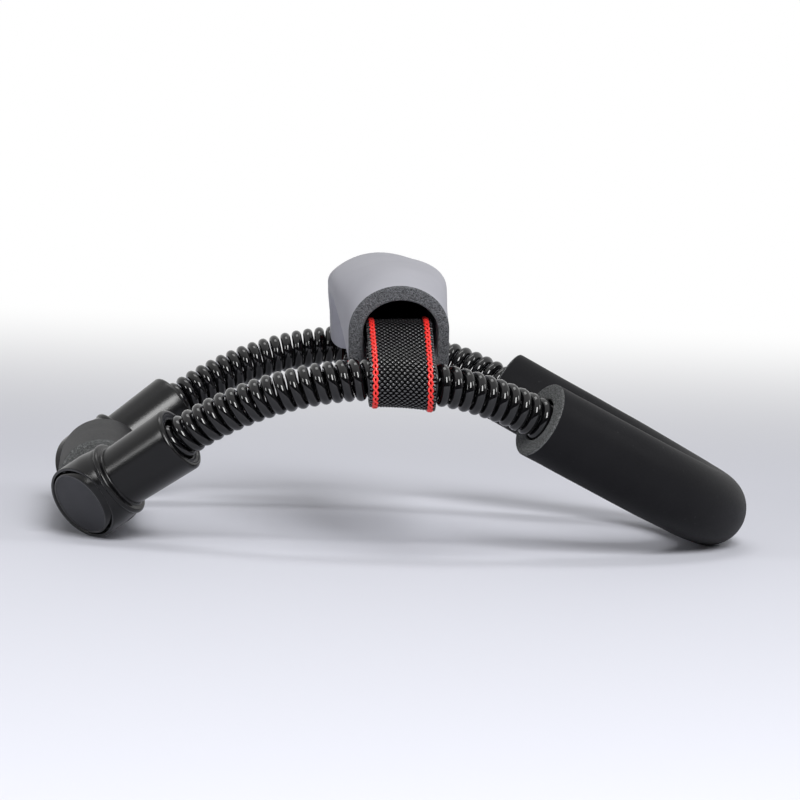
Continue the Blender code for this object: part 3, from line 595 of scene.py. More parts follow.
def fittingRows():
    f = fitting
    turns = fullTurn(f["columns"])
    cosine, sine = np.cos(turns), np.sin(turns)
    neck = f["sleeveLength"] - f["beadWidth"] / 2.0
    shoulder = f["sleeveLength"] + f["beadWidth"] / 2.0
    mouth, bore, depth, ease = f["mouthRound"], f["boreRadius"], f["boreDepth"], f["easing"]
    lip, lipRound, chamfer = f["lipInner"], f["lipRound"], f["boreChamfer"]
    seam, shoulderRound = f["seam"], f["shoulderRound"]
    beadRound = f["beadWidth"] / 2.0
    section = [(f["shankHoleRadius"], depth), (bore - chamfer, depth), (bore, depth - chamfer),
               (bore, 0.4 * depth), (bore, mouth)]
    section += arc((bore + ease, f["lipHeight"] + ease), ease, 180.0, 270.0, 5)
    section += [(lip - lipRound, f["lipHeight"])]
    section += arc((lip + lipRound, lipRound), lipRound, 180.0, 270.0, 4)
    section += arc((f["mouthRadius"] - mouth, mouth), mouth, -90.0, 0.0, 9)
    slim = f["mouthRadius"] - f["neckRadius"]
    section += [(f["mouthRadius"] - slim * part, mouth + (neck - ease - 2.0 * seam - mouth) * part)
                for part in np.linspace(0.1, 1.0, 12)]
    section += arc((f["neckRadius"] + ease, neck - ease - seam), ease, 180.0, 90.0, 5)
    section += arc((f["beadRadius"] - beadRound, f["sleeveLength"]), beadRound, -85.0, 62.0, 12)
    base = shoulder + shoulderRound
    section += [(f["capNeckRadius"] - shoulderRound, shoulder - seam), (f["capNeckRadius"], base)]
    rows = [slantedRing(turns, radius, height, 0.0) for radius, height in section]
    # The cap's wall widens up to the slanted end and rolls over into its rim

    def wallRadius(height):
        widening = smoothstep((height - base) / f["capFlare"])
        return f["capNeckRadius"] + (f["capRadius"] - f["capNeckRadius"]) * widening

    edgeRadius = np.full_like(turns, f["capRadius"])
    for _ in range(6):
        edgeHeight = capEnd - cutSlope * edgeRadius * cosine
        edgeRadius = wallRadius(edgeHeight)
    rollOff = np.minimum(f["rimRound"], 0.5 * (edgeHeight - base))
    for part in np.linspace(0.12, 1.0, 12):
        height = base + (edgeHeight - rollOff - base) * part
        rows.append(np.stack([wallRadius(height) * cosine, wallRadius(height) * sine, height], axis=1))
    wallEnd = rows[-1]
    edge = slantedRing(turns, edgeRadius, capEnd, cutSlope)
    landStart = slantedRing(turns, edgeRadius - 0.8 * rollOff, capEnd, cutSlope)
    for part in np.linspace(0.125, 1.0, 8):
        rows.append(wallEnd * (1.0 - part) ** 2 + edge * 2.0 * part * (1.0 - part) + landStart * part ** 2)
    soft = f["rimInnerRound"]
    for turn in np.linspace(0.0, math.pi / 2.0, 5):
        inner = pocketRadius + soft * (1.0 - math.sin(turn))
        rows.append(slantedRing(turns, inner, capEnd - soft * (1.0 - math.cos(turn)), cutSlope))
    lean, hole = math.tan(coverTurn), f["headHoleRadius"]
    inside = [(pocketRadius, pocketFloor + soft, lean), (pocketRadius - soft, pocketFloor, lean),
              (hole + 1.0, pocketFloor, lean), (hole, pocketFloor, lean),
              (hole, f["headSeat"], 0.0), (f["shankHoleRadius"], f["headSeat"], 0.0)]
    return np.array(rows + [slantedRing(turns, *row) for row in inside])


def rodRings(start, end, radius, count, roundEnd=0.0):
    direction = unit(end - start)
    across = unit(np.cross(direction, [0.3, 1.0, 0.1]))
    up = np.cross(direction, across)
    places, radii = [start], [radius]
    for turn in np.linspace(0.0, math.pi / 2.0, 7) if roundEnd else [0.0]:
        places.append(end - direction * roundEnd * (1.0 - math.sin(turn)))
        radii.append(radius - roundEnd * (1.0 - math.cos(turn)))
    return sweep(np.array(places), across, up, radii, count)


def setPair(kind, shape, materials, sharpAngle, node):
    # The left and right pieces of a kind, which ride on the handle
    for sideName, which in sides.items():
        name = sideName + kind
        piece = makePiece(name, shape(name, which), materials, sharpAngle)
        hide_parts(node + sideName)
        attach(piece, "handle")


def toolObject(name, rings):
    return newObject(name, gridMesh(name, [rings]))


def solved(thing, tools):
    # The thing's mesh after its union and cuts; the helpers go away
    for tool, operation in tools:
        change = thing.modifiers.new(tool.name, "BOOLEAN")
        change.operation = operation
        change.object = tool
        change.solver = "EXACT"
    bpy.context.view_layer.update()
    shape = thing.evaluated_get(bpy.context.evaluated_depsgraph_get())
    mesh = bpy.data.meshes.new_from_object(shape)
    for spare in [thing] + [tool for tool, operation in tools]:
        bpy.data.objects.remove(spare)
    return mesh


def bossMesh():
    # A boss from inside the cap, trimmed below the pocket floor so that the pocket stays open
    f = fitting
    rings = rodRings(crossing + barInward * f["bossStart"], crossing + barInward * f["bossReach"],
                     f["bossRadius"], f["bossSides"], f["bossRound"])
    thing = toolObject("boss", rings)
    build = bmesh.new()
    build.from_mesh(thing.data)
    place = (0.0, 0.0, pocketFloor - f["pocketWall"])
    normal = (math.sin(coverTurn), 0.0, math.cos(coverTurn))
    trimmed = bmesh.ops.bisect_plane(build, geom=build.verts[:] + build.edges[:] + build.faces[:],
                                     plane_co=place, plane_no=normal, clear_outer=True)
    cutEdges = [item for item in trimmed["geom_cut"] if isinstance(item, bmesh.types.BMEdge)]
    bmesh.ops.holes_fill(build, edges=cutEdges)
    build.to_mesh(thing.data)
    build.free()
    return thing


def makeFittings():
    f = fitting
    start, end = (crossing + barInward * reach for reach in (f["barStop"], f["bossReach"] + f["overshoot"]))
    socket = toolObject("socket", rodRings(start, end, f["socketRadius"], f["socketSides"]))
    reach = sideways * (f["bossRadius"] + f["overshoot"])
    hole = rodRings(pinCentre - reach, pinCentre + reach, f["pinRadius"] + f["pinGap"], f["pinSides"])
    tools = [(bossMesh(), "UNION"), (socket, "DIFFERENCE"), (toolObject("drill", hole), "DIFFERENCE")]
    base = solved(newObject("fitting", gridMesh("fitting", [fittingRows()], wrapRows=True)), tools)
    points = np.empty(len(base.vertices) * 3)
    base.vertices.foreach_get("co", points)

    def shape(name, which):
        mesh = base.copy()
        mesh.vertices.foreach_set("co", fromFitting(points.reshape(-1, 3), which).ravel())
        return mesh

    setPair("CornerFitting", shape, ["satin black plastic"], 38.0, "corner_fitting_")
    bpy.data.meshes.remove(base)


makeFittings()
print("corner fittings moulded")


# Cover plugs: round in the cap, with a slanted face and a fine raised edge

def makeCovers():
    c = cover
    turns = fullTurn(c["columns"])
    low, plate, soft, edge = -c["thickness"], -c["edgeHeight"], c["edgeRound"], c["edgeWidth"]
    # (inset, height) from the rim of the face: underside, wall, rounded edge, fine edge, face
    section = [(3.0, low), (soft, low), (0.0, low + soft), (0.0, -soft)]
    section += [(soft * (1.0 - math.cos(turn)), -soft * (1.0 - math.sin(turn)))
                for turn in np.radians((22.5, 45.0, 67.5, 90.0))]
    section += [(edge, -0.02), (edge + 0.1, plate + 0.02)]
    edgeEnd = len(section) - 1
    section += [(edge + 0.35, plate), (2.0, plate + 0.01), (5.0, plate + 0.04), (8.0, plate + 0.05)]
    radius = pocketRadius - c["sideGap"]
    steep, lean = math.cos(coverTurn), math.tan(coverTurn)
    rings = [slantedRing(turns, radius - inset, coverFace + height / steep, lean)
             for inset, height in section]

    def shape(name, which):
        mesh = gridMesh(name, [fromFitting(np.array(rings), which)])
        edgeFaces = np.zeros(len(mesh.polygons), dtype=np.int32)
        edgeFaces[c["columns"]:edgeEnd * c["columns"]] = 1      # wall and raised edge
        mesh.polygons.foreach_set("material_index", edgeFaces)
        return mesh

    setPair("CornerCover", shape, ["matte cover plastic", "satin black plastic"], 30.0,
            "corner_cover_")


def makePins():
    f = fitting
    reach = sideways * (f["bossRadius"] - f["pinInset"])
    half = rodRings(pinCentre, pinCentre + reach, f["pinRadius"], f["pinSides"], f["pinRound"])
    rings = np.concatenate([toSide(half, 1)[:0:-1], half[1:]])
    setPair("BarPin", lambda name, which: gridMesh(name, [fromFitting(rings, which)]), ["brushed steel"],
            35.0, "bar_pin_")


makeCovers()
makePins()
print("covers and pins set")


# Foam tubes: a shell with a bore, soft edges and torn-looking cut ends

grit = ((0.8, 3.0, 0.10), (0.35, 7.0, 0.05))     # size, seed and height of the roughness of a cut


def hollowTube(outer, inner, ends, edge, faceRings):
    # Rows of a closed shell and which of them belong to a cut. outer and inner stop one edge width
    # short of each cut face, and ends are the directions out of them.
    shares = 0.5 - 0.5 * np.cos(np.pi * np.arange(1, faceRings + 1) / (faceRings + 1))

    def face(outerEnd, innerEnd, outward):
        width = np.linalg.norm(outerEnd - innerEnd, axis=1).mean()
        near = np.minimum(shares, 1.0 - shares) * width / edge
        rise = edge * np.sqrt(np.clip(1.0 - (1.0 - np.clip(near, 0.0, 1.0)) ** 2, 0.0, 1.0))
        rings = outerEnd + (innerEnd - outerEnd) * shares[:, None, None] + outward * rise[:, None, None]
        rough = sum(softNoise(rings, size, seed) * height for size, seed, height in grit)
        return rings + outward * (rough * np.minimum(1.0, near)[:, None])[:, :, None]

    ending = face(outer[-1], inner[-1], ends[1])
    starting = face(outer[0], inner[0], ends[0])[::-1]
    rows = np.concatenate([outer, ending, inner[::-1], starting])
    cutRows = np.zeros(len(rows), dtype=bool)
    first = len(outer)
    cutRows[first - 1:first + faceRings] = True
    cutRows[first + faceRings + len(inner) - 1:] = True
    return rows, cutRows


def swollen(rings, middles, values, fade=1.0):
    # The unevenness of a soft skin
    rise = softNoise(rings, values["swellSize"], values["seed"]) * (values["swell"] * fade)
    return rings + unit(rings - middles) * rise[:, :, None]


def foamPiece(name, outer, inner, ends, values, materials):
    rows, cutRows = hollowTube(outer, inner, ends, values["edge"], values["faceRings"])
    mesh = gridMesh(name, [stood(rows)], wrapRows=True)
    mesh.polygons.foreach_set("material_index", np.repeat(cutRows, values["columns"]).astype(np.int32))
    return makePiece(name, mesh, materials, 75.0)


armRest = {
    "radius": 12.0,
    "boreRadius": 6.8,
    "legStraight": 28.0,
    "spacing": 1.3,
    "edge": 0.5,
    "faceRings": 14,
    "columns": 96,
    "swell": 0.14,             # unevenness of the soft skin
    "swellSize": 16.0,
    "swellFade": 6.0,          # rows in which it grows from each end
    "seed": 0.0,
}


def restStations(start):
    # Centre points and directions of the U from one cut end round to the other
    leg = heading(1.0)
    level = unit(np.array([leg[0], 0.0, leg[2]]))
    close = math.asin(leg[1])
    foot = lineAt(springLine["shownLength"])
    bendStart = foot + leg * armRest["legStraight"]
    radius = -bendStart[1] / math.cos(close)
    centre = bendStart - level * radius * math.sin(close) + np.array([0.0, radius * math.cos(close), 0.0])
    run, bend = armRest["legStraight"] - start, math.pi / 2.0 - close
    pieces = round(run / armRest["spacing"])
    shares = start + run * np.arange(pieces)[:, None] / pieces
    bends = round(radius * bend / armRest["spacing"])
    turns = close + bend * np.arange(bends)[:, None] / bends
    spokes = level * np.sin(turns) - sideways * np.cos(turns)
    bent = sideways * np.sin(turns) + level * np.cos(turns)
    points = np.concatenate([foot + leg * shares, centre + spokes * radius])
    directions = np.concatenate([np.tile(leg, (pieces, 1)), bent])
    points = np.concatenate([points, [centre + level * radius], toSide(points, 1)[::-1]])
    directions = np.concatenate([directions, [sideways], -toSide(directions, 1)[::-1]])
    return points, directions, unit(np.cross(sideways, level))


def makeArmRest():
    a = armRest
    points, directions, upright = restStations(a["edge"])
    across = np.cross(directions, upright)
    outer = sweep(points, upright, across, a["radius"], a["columns"])
    inner = sweep(points, upright, across, a["boreRadius"], a["columns"])
    index = np.arange(len(points))
    fade = smoothstep(np.minimum(index, index[::-1]) / a["swellFade"])
    outer = swollen(outer, points[:, None], a, fade[:, None])
    piece = foamPiece("armRestFoam", outer, inner, (-directions[0], directions[-1]), a,
                      ["black foam skin", "black foam cut"])
    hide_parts("arm_rest_foam")
    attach(piece, "arm_rest")


grip = {
    "radius": 14.0,
    "holeRadius": 6.3,
    "gap": 0.3,                # to the boss at each end
    "edge": 1.0,
    "spacing": 1.2,
    "faceRings": 12,
    "columns": 96,
    "swell": 0.12,
    "swellSize": 14.0,
    "seed": 5.0,
}


def makeGrip():
    g = grip
    middle = fittingTurn(1) @ crossing + sideways * springLine["mouthHalfSpacing"]
    reach = middle[1] - fitting["bossReach"] - g["gap"] - g["edge"]
    along = np.linspace(-reach, reach, round(2.0 * reach / g["spacing"]))
    points = middle * (1.0, 0.0, 1.0) + sideways * along[:, None]
    across, up = (1.0, 0.0, 0.0), (0.0, 0.0, 1.0)
    outer = sweep(points, across, up, g["radius"], g["columns"])
    inner = sweep(points, across, up, g["holeRadius"], g["columns"])
    outer = swollen(outer, points[:, None], g)
    piece = foamPiece("gripFoam", outer, inner, (-sideways, sideways), g,
                      ["black foam skin", "black foam cut"])
    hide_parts("handle_grip")
    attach(piece, "handle")


makeArmRest()
makeGrip()
print("foam rest and grip made")


# Wrist pad: an arched foam tube, flat underneath, deeper at its ends

pad = {
    "halfSpan": 68.0,
    "endHeight": 14.0,
    "crownHeight": 26.0,
    "midHalfWidth": 17.9,
    "midHalfHeight": 7.5,
    "endHalfWidth": 15.3,
    "endHalfHeight": 14.8,
    "wall": 4.8,
    "sideWall": 4.0,
    "boreShift": 0.45,         # bore towards the forearm
    "evenPart": 0.15,
    "corner": 5.0,
    "boreCorner": 2.0,
    "stations": 110,
    "columns": 132,
    "edge": 0.6,
    "faceRings": 14,
    "swell": 0.03,
    "swellSize": 26.0,
    "seed": 9.0,
}
springAtBand = lineAtX(bandCentre)
padRise = pad["crownHeight"] - pad["endHeight"]
archRadius = (pad["halfSpan"] ** 2 + padRise ** 2) / (2.0 * padRise)
archHalfAngle = math.asin(pad["halfSpan"] / archRadius)
archCentreZ = springAtBand[2] + pad["crownHeight"] - archRadius
halfArc = archRadius * archHalfAngle


def padSizes(part):
    swell = smoothstep((np.abs(part) - pad["evenPart"]) / (1.0 - pad["evenPart"]))
    width = pad["midHalfWidth"] + (pad["endHalfWidth"] - pad["midHalfWidth"]) * swell
    height = pad["midHalfHeight"] + (pad["endHalfHeight"] - pad["midHalfHeight"]) * swell
    return width, height


def archPoint(part, radial, along=0.0):
    angle = part * archHalfAngle
    radius = archRadius + radial
    place = np.broadcast_arrays(bandCentre + along, -radius * np.sin(angle),
                                archCentreZ + radius * np.cos(angle))
    return np.stack(place, axis=-1)


def padSection(halfWidth, halfHeight, corner):
    # Round top, straight sides, flat underside; points evenly spaced from the middle of the top
    corner = min(corner, halfHeight * 0.8)
    quarter = np.linspace(0.0, math.pi / 2.0, 60)
    top = np.stack([halfWidth * np.sin(quarter), halfHeight * np.cos(quarter)], axis=1)
    low = np.stack([halfWidth - corner + corner * np.cos(quarter),
                    corner - halfHeight - corner * np.sin(quarter)], axis=1)
    half = np.vstack([top, low, [[0.0, -halfHeight]]])
    whole = np.vstack([half, (half * (-1.0, 1.0))[-2::-1]])
    run = runLength(whole)
    at = run[-1] * np.arange(pad["columns"]) / pad["columns"]
    return np.interp(at, run, whole[:, 0]), np.interp(at, run, whole[:, 1])


def makePad():
    p = pad
    edgePart = p["edge"] / halfArc
    parts = np.linspace(-1.0 + edgePart, 1.0 - edgePart, p["stations"])
    outer, inner = [], []
    for part in parts:
        width, height = padSizes(part)
        across, up = padSection(width, height, p["corner"])
        outer.append(archPoint(part, up, across))
        across, up = padSection(width - p["sideWall"], height - p["wall"], p["boreCorner"])
        inner.append(archPoint(part, up, across + p["boreShift"]))
    outer, inner = np.array(outer), np.array(inner)
    outer = swollen(outer, outer.mean(axis=1, keepdims=True), p)
    startOut = np.array([0.0, math.cos(archHalfAngle), -math.sin(archHalfAngle)])
    piece = foamPiece("wristPad", outer, inner, (startOut, toSide(startOut, 1)), p,
                      ["grey pad skin", "pad foam cut"])
    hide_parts("wrist_pad")
    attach(piece, "pad")


makePad()
print("wrist pad made")


# Strap: woven band through the pad, round both springs and back in, with a chain stripe near each edge

strap = {
    "width": 20.0,
    "thickness": 1.4,
    "floor": 0.7,
    "loopSlack": 0.6,
    "endRise": 5.0,            # folded end off the bore's floor at the pad's end
    "layerGap": 4.2,           # between the two layers at the pad's end
    "return": 40.0,            # length folded back into the pad
    "ramp": 19.0,
    "rampMargin": 1.2,
    "fineStep": 0.215,         # row spacing where the band shows
    "coarseStep": 1.6,
    "fineInside": 9.0,         # how far into the pad the fine rows reach
    "fineHome": 3.0,           # and on the folded end
    "outerSpacing": 0.215,
    "innerSpacing": 0.9,
    "coreHalf": 0.34,          # half thickness between the yarns
    "yarn": 0.86,              # spacing of the yarns both ways
    "crest": 0.40,             # height of a lengthwise yarn's crest
    "weft": 0.16,              # height of a crosswise yarn's crest
    "paintedShadeBelow": 0.15,            # faces lower than this lie between the yarns and get painted shade
    "selvedge": 0.75,          # width of the ribbed edges
    "softening": 1.2,          # how widely the band's turns are rounded
    "pathStep": 0.1,
    "rib": 1.15,               # spacing of the ribs along the edges
    "ribHeight": 0.30,
    "stripeBed": 0.9,          # half width of the smooth bed under a stripe
    "edgeDip": 0.16,
    "edgeDipWidth": 0.5,
    "edgeRound": 0.1,
    "edgeBulge": 0.04,
    "weaveFade": 3.0,          # run in which the weave flattens inside the pad
}
stripe = {
    "fromEdge": 1.7,           # stripe centre from the band's edge
    "link": 2.0,
    "spread": 0.58,
    "thread": 0.36,
    "foot": 0.16,              # lowest middle of a thread above the band
    "rise": 0.30,
    "step": 0.2,
    "sides": 8,
}
patch = {
    "width": 18.0,
    "thickness": 0.8,
    "gap": 0.3,
    "length": 16.0,
    "setback": 22.0,           # from the pad's end
    "spacing": 0.6,
    "pile": 0.22,
    "base": 0.12,              # tape's faces inside its thickness, which leaves room for the pile
}
# Places in the pad as parts of its half arc, 0 at the crown and 1 at its end
returnEnd = 1.0 - strap["return"] / halfArc
patchTo = 1.0 - patch["setback"] / halfArc
patchFrom = patchTo - patch["length"] / halfArc


def strapLift(part):
    # Lift of the folded end, the hook patch, the loop patch and the upper layer off the arch line
    thick, gap = strap["thickness"], patch["gap"]
    ending = smoothstep((part - patchTo) / (1.0 - patchTo))
    lower = strap["floor"] + thick / 2.0 - (padSizes(part)[1] - pad["wall"]) + strap["endRise"] * ending
    hook = lower + thick / 2.0 + gap + patch["thickness"] / 2.0
    loop = hook + patch["thickness"] + gap
    stack = loop + patch["thickness"] / 2.0 + gap + thick / 2.0
    rampTop = returnEnd - strap["rampMargin"] / halfArc
    raised = smoothstep(1.0 - (rampTop - part) * halfArc / strap["ramp"])
    doubled = lower + thick + strap["layerGap"]
    upper = lower + (stack - lower) * raised + (doubled - stack) * ending
    return lower, hook, loop, upper


def tangentAngle(point, radius, sign):
    offset = point - springAtBand[1:]
    spread = math.acos(radius / np.linalg.norm(offset))
    return math.atan2(offset[1], offset[0]) + sign * spread


def strapHalfPath():
    # Evenly spaced (y, z, follow) of the left half with the distances at which it leaves the pad
    # and comes back to it. Follow is 1 where the band leans with the spring.
    outward, inward = np.linspace(0.0, 1.0, 60), np.linspace(1.0, returnEnd, 30)
    over = archPoint(outward, strapLift(outward)[3])[:, 1:]
    home = archPoint(inward, strapLift(inward)[0])[:, 1:]
    radius = spring["outer"] / 2.0 + strap["loopSlack"] + strap["thickness"] / 2.0
    first = tangentAngle(over[-1], radius, 1.0)
    last = tangentAngle(home[0], radius, -1.0) + 2.0 * math.pi
    turns = np.linspace(first, last, 90)
    loop = springAtBand[1:] + radius * np.stack([np.cos(turns), np.sin(turns)], axis=1)
    shares = np.linspace(0.0, 1.0, 12)[1:-1, None]
    leaving = over[-1] + (loop[0] - over[-1]) * shares
    homing = loop[-1] + (home[0] - loop[-1]) * shares
    easing = smoothstep(shares[:, 0])
    corners = np.vstack([over, leaving, loop, homing, home])
    follow = np.concatenate([np.zeros(len(over)), easing, np.ones(len(loop)), easing[::-1],
                             np.zeros(len(home))])
    run, step = runLength(corners), strap["pathStep"]
    fine = np.arange(0.0, run[-1], step)
    path = lookUp(fine, run, np.column_stack([corners, follow]))
    reach = round(3.0 * strap["softening"] / step)
    window = np.exp(-0.5 * (np.arange(-reach, reach + 1) * step / strap["softening"]) ** 2)
    window /= window.sum()
    # Mirrored past the middle plane and run straight past the end, so that both keep their place
    before = path[1:reach + 1][::-1] * (-1.0, 1.0, 1.0)
    after = path[-1] + (path[-1] - path[-2]) * np.arange(1, reach + 1)[:, None]
    padded = np.vstack([before, path, after])
    path = np.stack([np.convolve(padded[:, axis], window, mode="valid") for axis in range(3)], axis=1)
    return fine, path, run[len(over) - 1], run[len(corners) - len(home)]


def strapRows():
    # Signed distances of the whole band's rows, from the left end of the path to the right
    fine, path, leaves, returns = strapHalfPath()
    start, end = leaves - strap["fineInside"], returns + strap["fineHome"]
    half = np.concatenate([
        np.linspace(0.0, start, round(start / strap["coarseStep"]), endpoint=False),
        np.arange(start, end, strap["fineStep"]),
        np.linspace(end, fine[-1], round((fine[-1] - end) / strap["coarseStep"])),
    ])
    return np.concatenate([-half[:0:-1], half]), (fine, path, start, end)


def bandFrame(rows, laid):
    # (y, z, follow) and outward direction at signed distances; left ones are negative
    fine, path = laid[:2]

    def place(distances):
        values = lookUp(np.abs(distances), fine, path)
        values[:, 0] *= -np.sign(distances)
        return values

    step = 0.15
    run = place(rows + step) - place(rows - step)
    return place(rows), unit(np.stack([np.zeros(len(rows)), -run[:, 1], run[:, 0]], axis=1))


def bandPoint(values, out, across, lift):
    # Points of the band at an offset across it and a lift off its middle surface
    drift = lineAtX(bandCentre + across) - springAtBand
    drift = drift * np.where(values[..., :1] > 0.0, (0.0, -1.0, 1.0), (0.0, 1.0, 1.0))
    place = np.stack(np.broadcast_arrays(bandCentre + across, values[..., 0], values[..., 1]), axis=-1)
    return place + drift * values[..., 2:3] + out * lift[..., None]


def weaveHeight(distance, across):
    # Plain weave: lengthwise yarns arch over every other crosswise one, half a step apart
    yarn = strap["yarn"]
    column, row = across / yarn, distance / yarn
    lane = np.floor(column + 0.01)
    phase = np.cos(np.pi * (row + lane))
    roundness = np.sqrt(np.clip(1.0 - (2.0 * (column - lane) - 1.0) ** 2, 0.0, 1.0))
    over = strap["crest"] * np.sqrt(np.clip(phase, 0.0, 1.0)) * roundness
    weft = strap["weft"] * np.clip(-phase, 0.0, 1.0) * (1.2 - 0.4 * roundness)
    inset = strap["width"] / 2.0 - np.abs(across)
    bed = np.clip(np.abs(inset - stripe["fromEdge"]) / strap["stripeBed"], 0.0, 1.0)
    ribs = strap["ribHeight"] * (0.5 + 0.5 * np.cos(2.0 * np.pi * distance / strap["rib"]))
    return np.where(inset < strap["selvedge"], ribs, np.maximum(over, weft) * bed ** 2)


def makeStrap():
    s = strap
    rows, laid = strapRows()
    values, out = bandFrame(rows, laid)
    start, end = laid[2:]
    fade = smoothstep((np.abs(rows) - start) / s["weaveFade"])
    fade = fade * smoothstep((end - np.abs(rows)) / s["weaveFade"])
    half = s["width"] / 2.0
    flat, edge = half - s["edgeRound"], half + s["edgeBulge"]
    reach = int(flat / s["outerSpacing"])
    top = np.arange(-reach, reach + 1) * s["outerSpacing"]
    bottom = np.linspace(flat, -flat, round(s["width"] / s["innerSpacing"]))
    across = np.concatenate([top, [edge], bottom, [-edge]])
    face = np.concatenate([np.ones(len(top)), [0.0], -np.ones(len(bottom)), [0.0]])
    woven = s["coreHalf"] + weaveHeight(np.abs(rows)[:, None], across) * fade[:, None]
    edgeDip = s["edgeDip"] * np.clip(1.0 - (half - np.abs(across)) / s["edgeDipWidth"], 0.0, 1.0)
    points = bandPoint(values[:, None], out[:, None], across, (woven - edgeDip) * face)
    mesh = gridMesh("webbingStrap", [stood(points)])
    # Low faces between the yarns and the end faces take a dark, dull finish, which is painted shade
    corners = woven[:-1] + woven[1:] - 2.0 * s["coreHalf"]
    paintedShadeBelow = corners + np.roll(corners, -1, axis=1) < 4.0 * s["paintedShadeBelow"]
    mesh.polygons.foreach_set("material_index", np.append(paintedShadeBelow, [True, True]).astype(np.int32))
    piece = makePiece("webbingStrap", mesh, ["black webbing", "webbing painted shade"], 80.0)
    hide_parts("webbing_strap")
    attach(piece, "strap")
    return laid


def makeStripes(laid):
    # Two red threads wind past each other along each edge, on both faces, like a chain
    t = stripe
    start, end = laid[2:]
    for sideName, which in sides.items():
        distances = np.arange(start, end, t["step"]) * -which
        values, out = bandFrame(distances, laid)
        grids = []
        for edge, face, strand in itertools.product((-1.0, 1.0), (-1.0, 1.0), (0.0, 1.0)):
            turn = np.pi * (np.abs(distances) / t["link"] + strand)
            across = edge * (strap["width"] / 2.0 - t["fromEdge"]) + t["spread"] * np.sin(turn)
            lift = face * (strap["coreHalf"] + t["foot"] + t["rise"] * (0.5 + 0.5 * np.cos(turn)))
            points = bandPoint(values, out, across, lift)
            run = unit(np.gradient(points, axis=0))
            up = squared(out, run)
            grids.append(stood(sweep(points, np.cross(run, up), up, t["thread"], t["sides"])))
        name = sideName + "StripeThread"
        piece = makePiece(name, gridMesh(name, grids), ["red thread"], 70.0)
        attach(piece, "strap")


def makePatches():
    p = patch
    parts = np.linspace(patchFrom, patchTo, round(p["length"] / p["spacing"] * 2.0))
    across = np.linspace(-p["width"] / 2.0, p["width"] / 2.0, round(p["width"] / p["spacing"] * 2.0))
    grid = np.meshgrid(parts, across, indexing="ij")
    half = p["thickness"] / 2.0 - p["base"]
    along = grid[0] * halfArc
    nubs = np.maximum(0.0, np.cos(np.pi * along / p["spacing"]) * np.cos(np.pi * grid[1] / p["spacing"]))
    for sideName, which in sides.items():
        for layer, kind, face in ((1, "hook", 1.0), (2, "loop", -1.0)):
            middle = strapLift(parts)[layer][:, None]
            cloud = softNoise(np.stack([along, grid[1], grid[0]], axis=-1), 0.9, layer)
            pile = p["pile"] * (nubs + (cloud if kind == "loop" else 0.0)) * 0.5
            lifts = {face: middle + face * (half + pile), -face: middle - face * half}
            upper, lower = (archPoint(grid[0], lifts[way], grid[1]) for way in (1.0, -1.0))
            rings = np.concatenate([upper, lower[:, ::-1]], axis=1)
            name = sideName + kind.capitalize() + "Patch"
            mesh = gridMesh(name, [stood(toSide(rings, which))])
            piece = makePiece(name, mesh, ["hook tape"], 60.0)
            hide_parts(kind + "_patch_" + sideName)
            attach(piece, "strap")


laidBand = makeStrap()
makeStripes(laidBand)
makePatches()
print("strap woven")


# Turned steel parts keep their own solids

for name, node in frame["nodes"].items():
    if name.startswith(("rear_bow", "handle_bar", "spring_plug", "clamp_screw", "clamp_washer", "bar_pin")):
        node.data.materials.clear()
        node.data.materials.append(finishes["brushed steel"])
print("steel finished")


# Stage, light and camera

stage = {
    "floorSize": 12.0,
    "roughness": 0.7,
    "nearColour": (0.71, 0.72, 0.79),
    "farColour": (1.0, 1.0, 1.0),
    "fadeFrom": 0.15,          # distance behind the trainer at which the floor starts to pale
    "fadeTo": 1.2,
}
lamps = {
    "keyBox": {"place": (0.28, -1.46, 1.04), "size": (0.62, 0.86), "power": 29.0},
    "topBox": {"place": (-0.10, 0.35, 1.75), "size": (1.0, 0.55), "power": 6.0},
    "leftBox": {"place": (-1.12, -0.60, 0.45), "size": (0.26, 0.36), "power": 3.2},
    "rightBox": {"place": (1.25, -0.30, 0.75), "size": (0.35, 0.50), "power": 4.0},
}
lampAim = (0.0, 0.0, 0.04)
world = {
    "light": 0.10,
    "frontGlow": 0.03,         # what glossy surfaces mirror from the front
    "backGlow": 0.9,
    "backward": (0.0, 0.55, 0.83),
    "glowLeans": (-0.35, 0.65),
}
camera = {
    "azimuth": -3.5,           # degrees, 0 looks along +Y
    "elevation": 4.301,
    "roll": 2.374,
    "target": (-0.001123, 0.0, 0.041978),
    "distance": 1.5,
    "lens": 212.14,
    "sensor": 36.0,
    "clip": (0.05, 50.0),
}


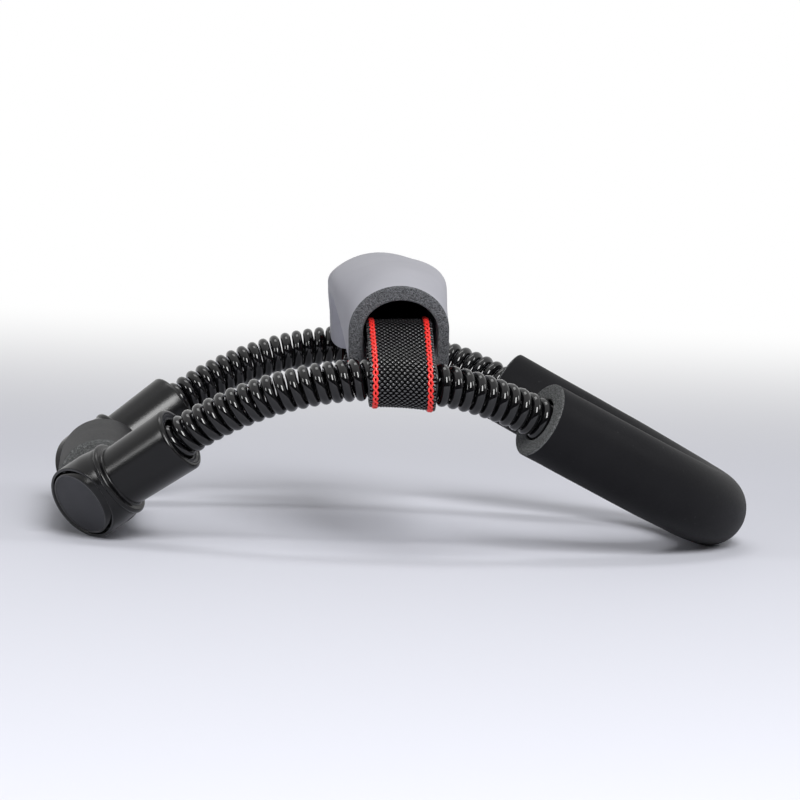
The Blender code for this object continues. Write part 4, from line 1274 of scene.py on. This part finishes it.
def makeFloor():
    s = stage
    half = s["floorSize"] / 2.0
    mesh = bpy.data.meshes.new("floor")
    mesh.from_pydata([(-half, -half, 0.0), (half, -half, 0.0), (half, half, 0.0), (-half, half, 0.0)],
                     [], [(0, 1, 2, 3)])
    values = {"Roughness": s["roughness"], "Base Color": (*s["nearColour"], 1.0)}
    made, tree, surface = newMaterial("pale floor", values)
    place = addNode(tree, "ShaderNodeTexCoord").outputs["Object"]
    away = addNode(tree, "ShaderNodeSeparateXYZ", {"Vector": place}).outputs["Y"]
    far = mapped(tree, away, start=s["fadeFrom"], end=s["fadeTo"], smooth=True)
    rays = addNode(tree, "ShaderNodeLightPath").outputs
    seen = maths(tree, "MAXIMUM", rays["Is Camera Ray"], rays["Is Glossy Ray"])
    glow = addNode(tree, "ShaderNodeEmission", {"Color": (*s["farColour"], 1.0), "Strength": 1.0})
    mix = addNode(tree, "ShaderNodeMixShader",
                  {0: maths(tree, "MULTIPLY", seen, far), 1: surface.outputs[0], 2: glow.outputs[0]})
    tree.links.new(mix.outputs[0], tree.nodes["Material Output"].inputs["Surface"])
    mesh.materials.append(made)
    newObject("floor", mesh)


def makeWorld():
    studio = bpy.data.worlds.new("studio")
    studio.use_nodes = True
    tree = studio.node_tree
    rays = addNode(tree, "ShaderNodeLightPath").outputs
    place = addNode(tree, "ShaderNodeTexCoord").outputs["Generated"]
    lean = addNode(tree, "ShaderNodeVectorMath", {0: place, 1: world["backward"]}, operation="DOT_PRODUCT")
    glow = mapped(tree, lean.outputs["Value"], world["frontGlow"], world["backGlow"], *world["glowLeans"],
                  smooth=True)
    mirrored = addNode(tree, "ShaderNodeMix", {"Factor": rays["Is Glossy Ray"], "A": world["light"],
                                              "B": glow}).outputs[0]
    background = tree.nodes["Background"].inputs
    tree.links.new(maths(tree, "MAXIMUM", rays["Is Camera Ray"], mirrored), background["Strength"])
    background["Color"].default_value = (1.0, 1.0, 1.0, 1.0)
    bpy.context.scene.world = studio


def makeLamps():
    aim = Vector(lampAim)
    for name, made in lamps.items():
        data = bpy.data.lights.new(name, "AREA")
        data.shape = "RECTANGLE"
        data.size, data.size_y = made["size"]
        data.energy = made["power"]
        lamp = newObject(name, data)
        lamp.location = made["place"]
        lamp.rotation_mode = "QUATERNION"
        lamp.rotation_quaternion = (aim - lamp.location).to_track_quat("-Z", "Y")
        lamp.visible_camera = False


def makeCamera():
    c = camera
    turn = Matrix.Identity(4)
    for angle, axis in ((c["azimuth"], "Z"), (90.0 - c["elevation"], "X"), (c["roll"], "Z")):
        turn = turn @ Matrix.Rotation(math.radians(angle), 4, axis)
    data = bpy.data.cameras.new("camera")
    data.lens = c["lens"]
    data.sensor_width = c["sensor"]
    data.clip_start, data.clip_end = c["clip"]
    thing = newObject("camera", data)
    place = Vector(c["target"]) + turn @ Vector((0.0, 0.0, c["distance"]))
    thing.matrix_world = Matrix.Translation(place) @ turn
    bpy.context.scene.camera = thing


makeFloor()
makeWorld()
makeLamps()
makeCamera()
bpy.context.scene.view_settings.view_transform = "Standard"
print("stage, lamps and camera set")

bpy.context.view_layer.update()
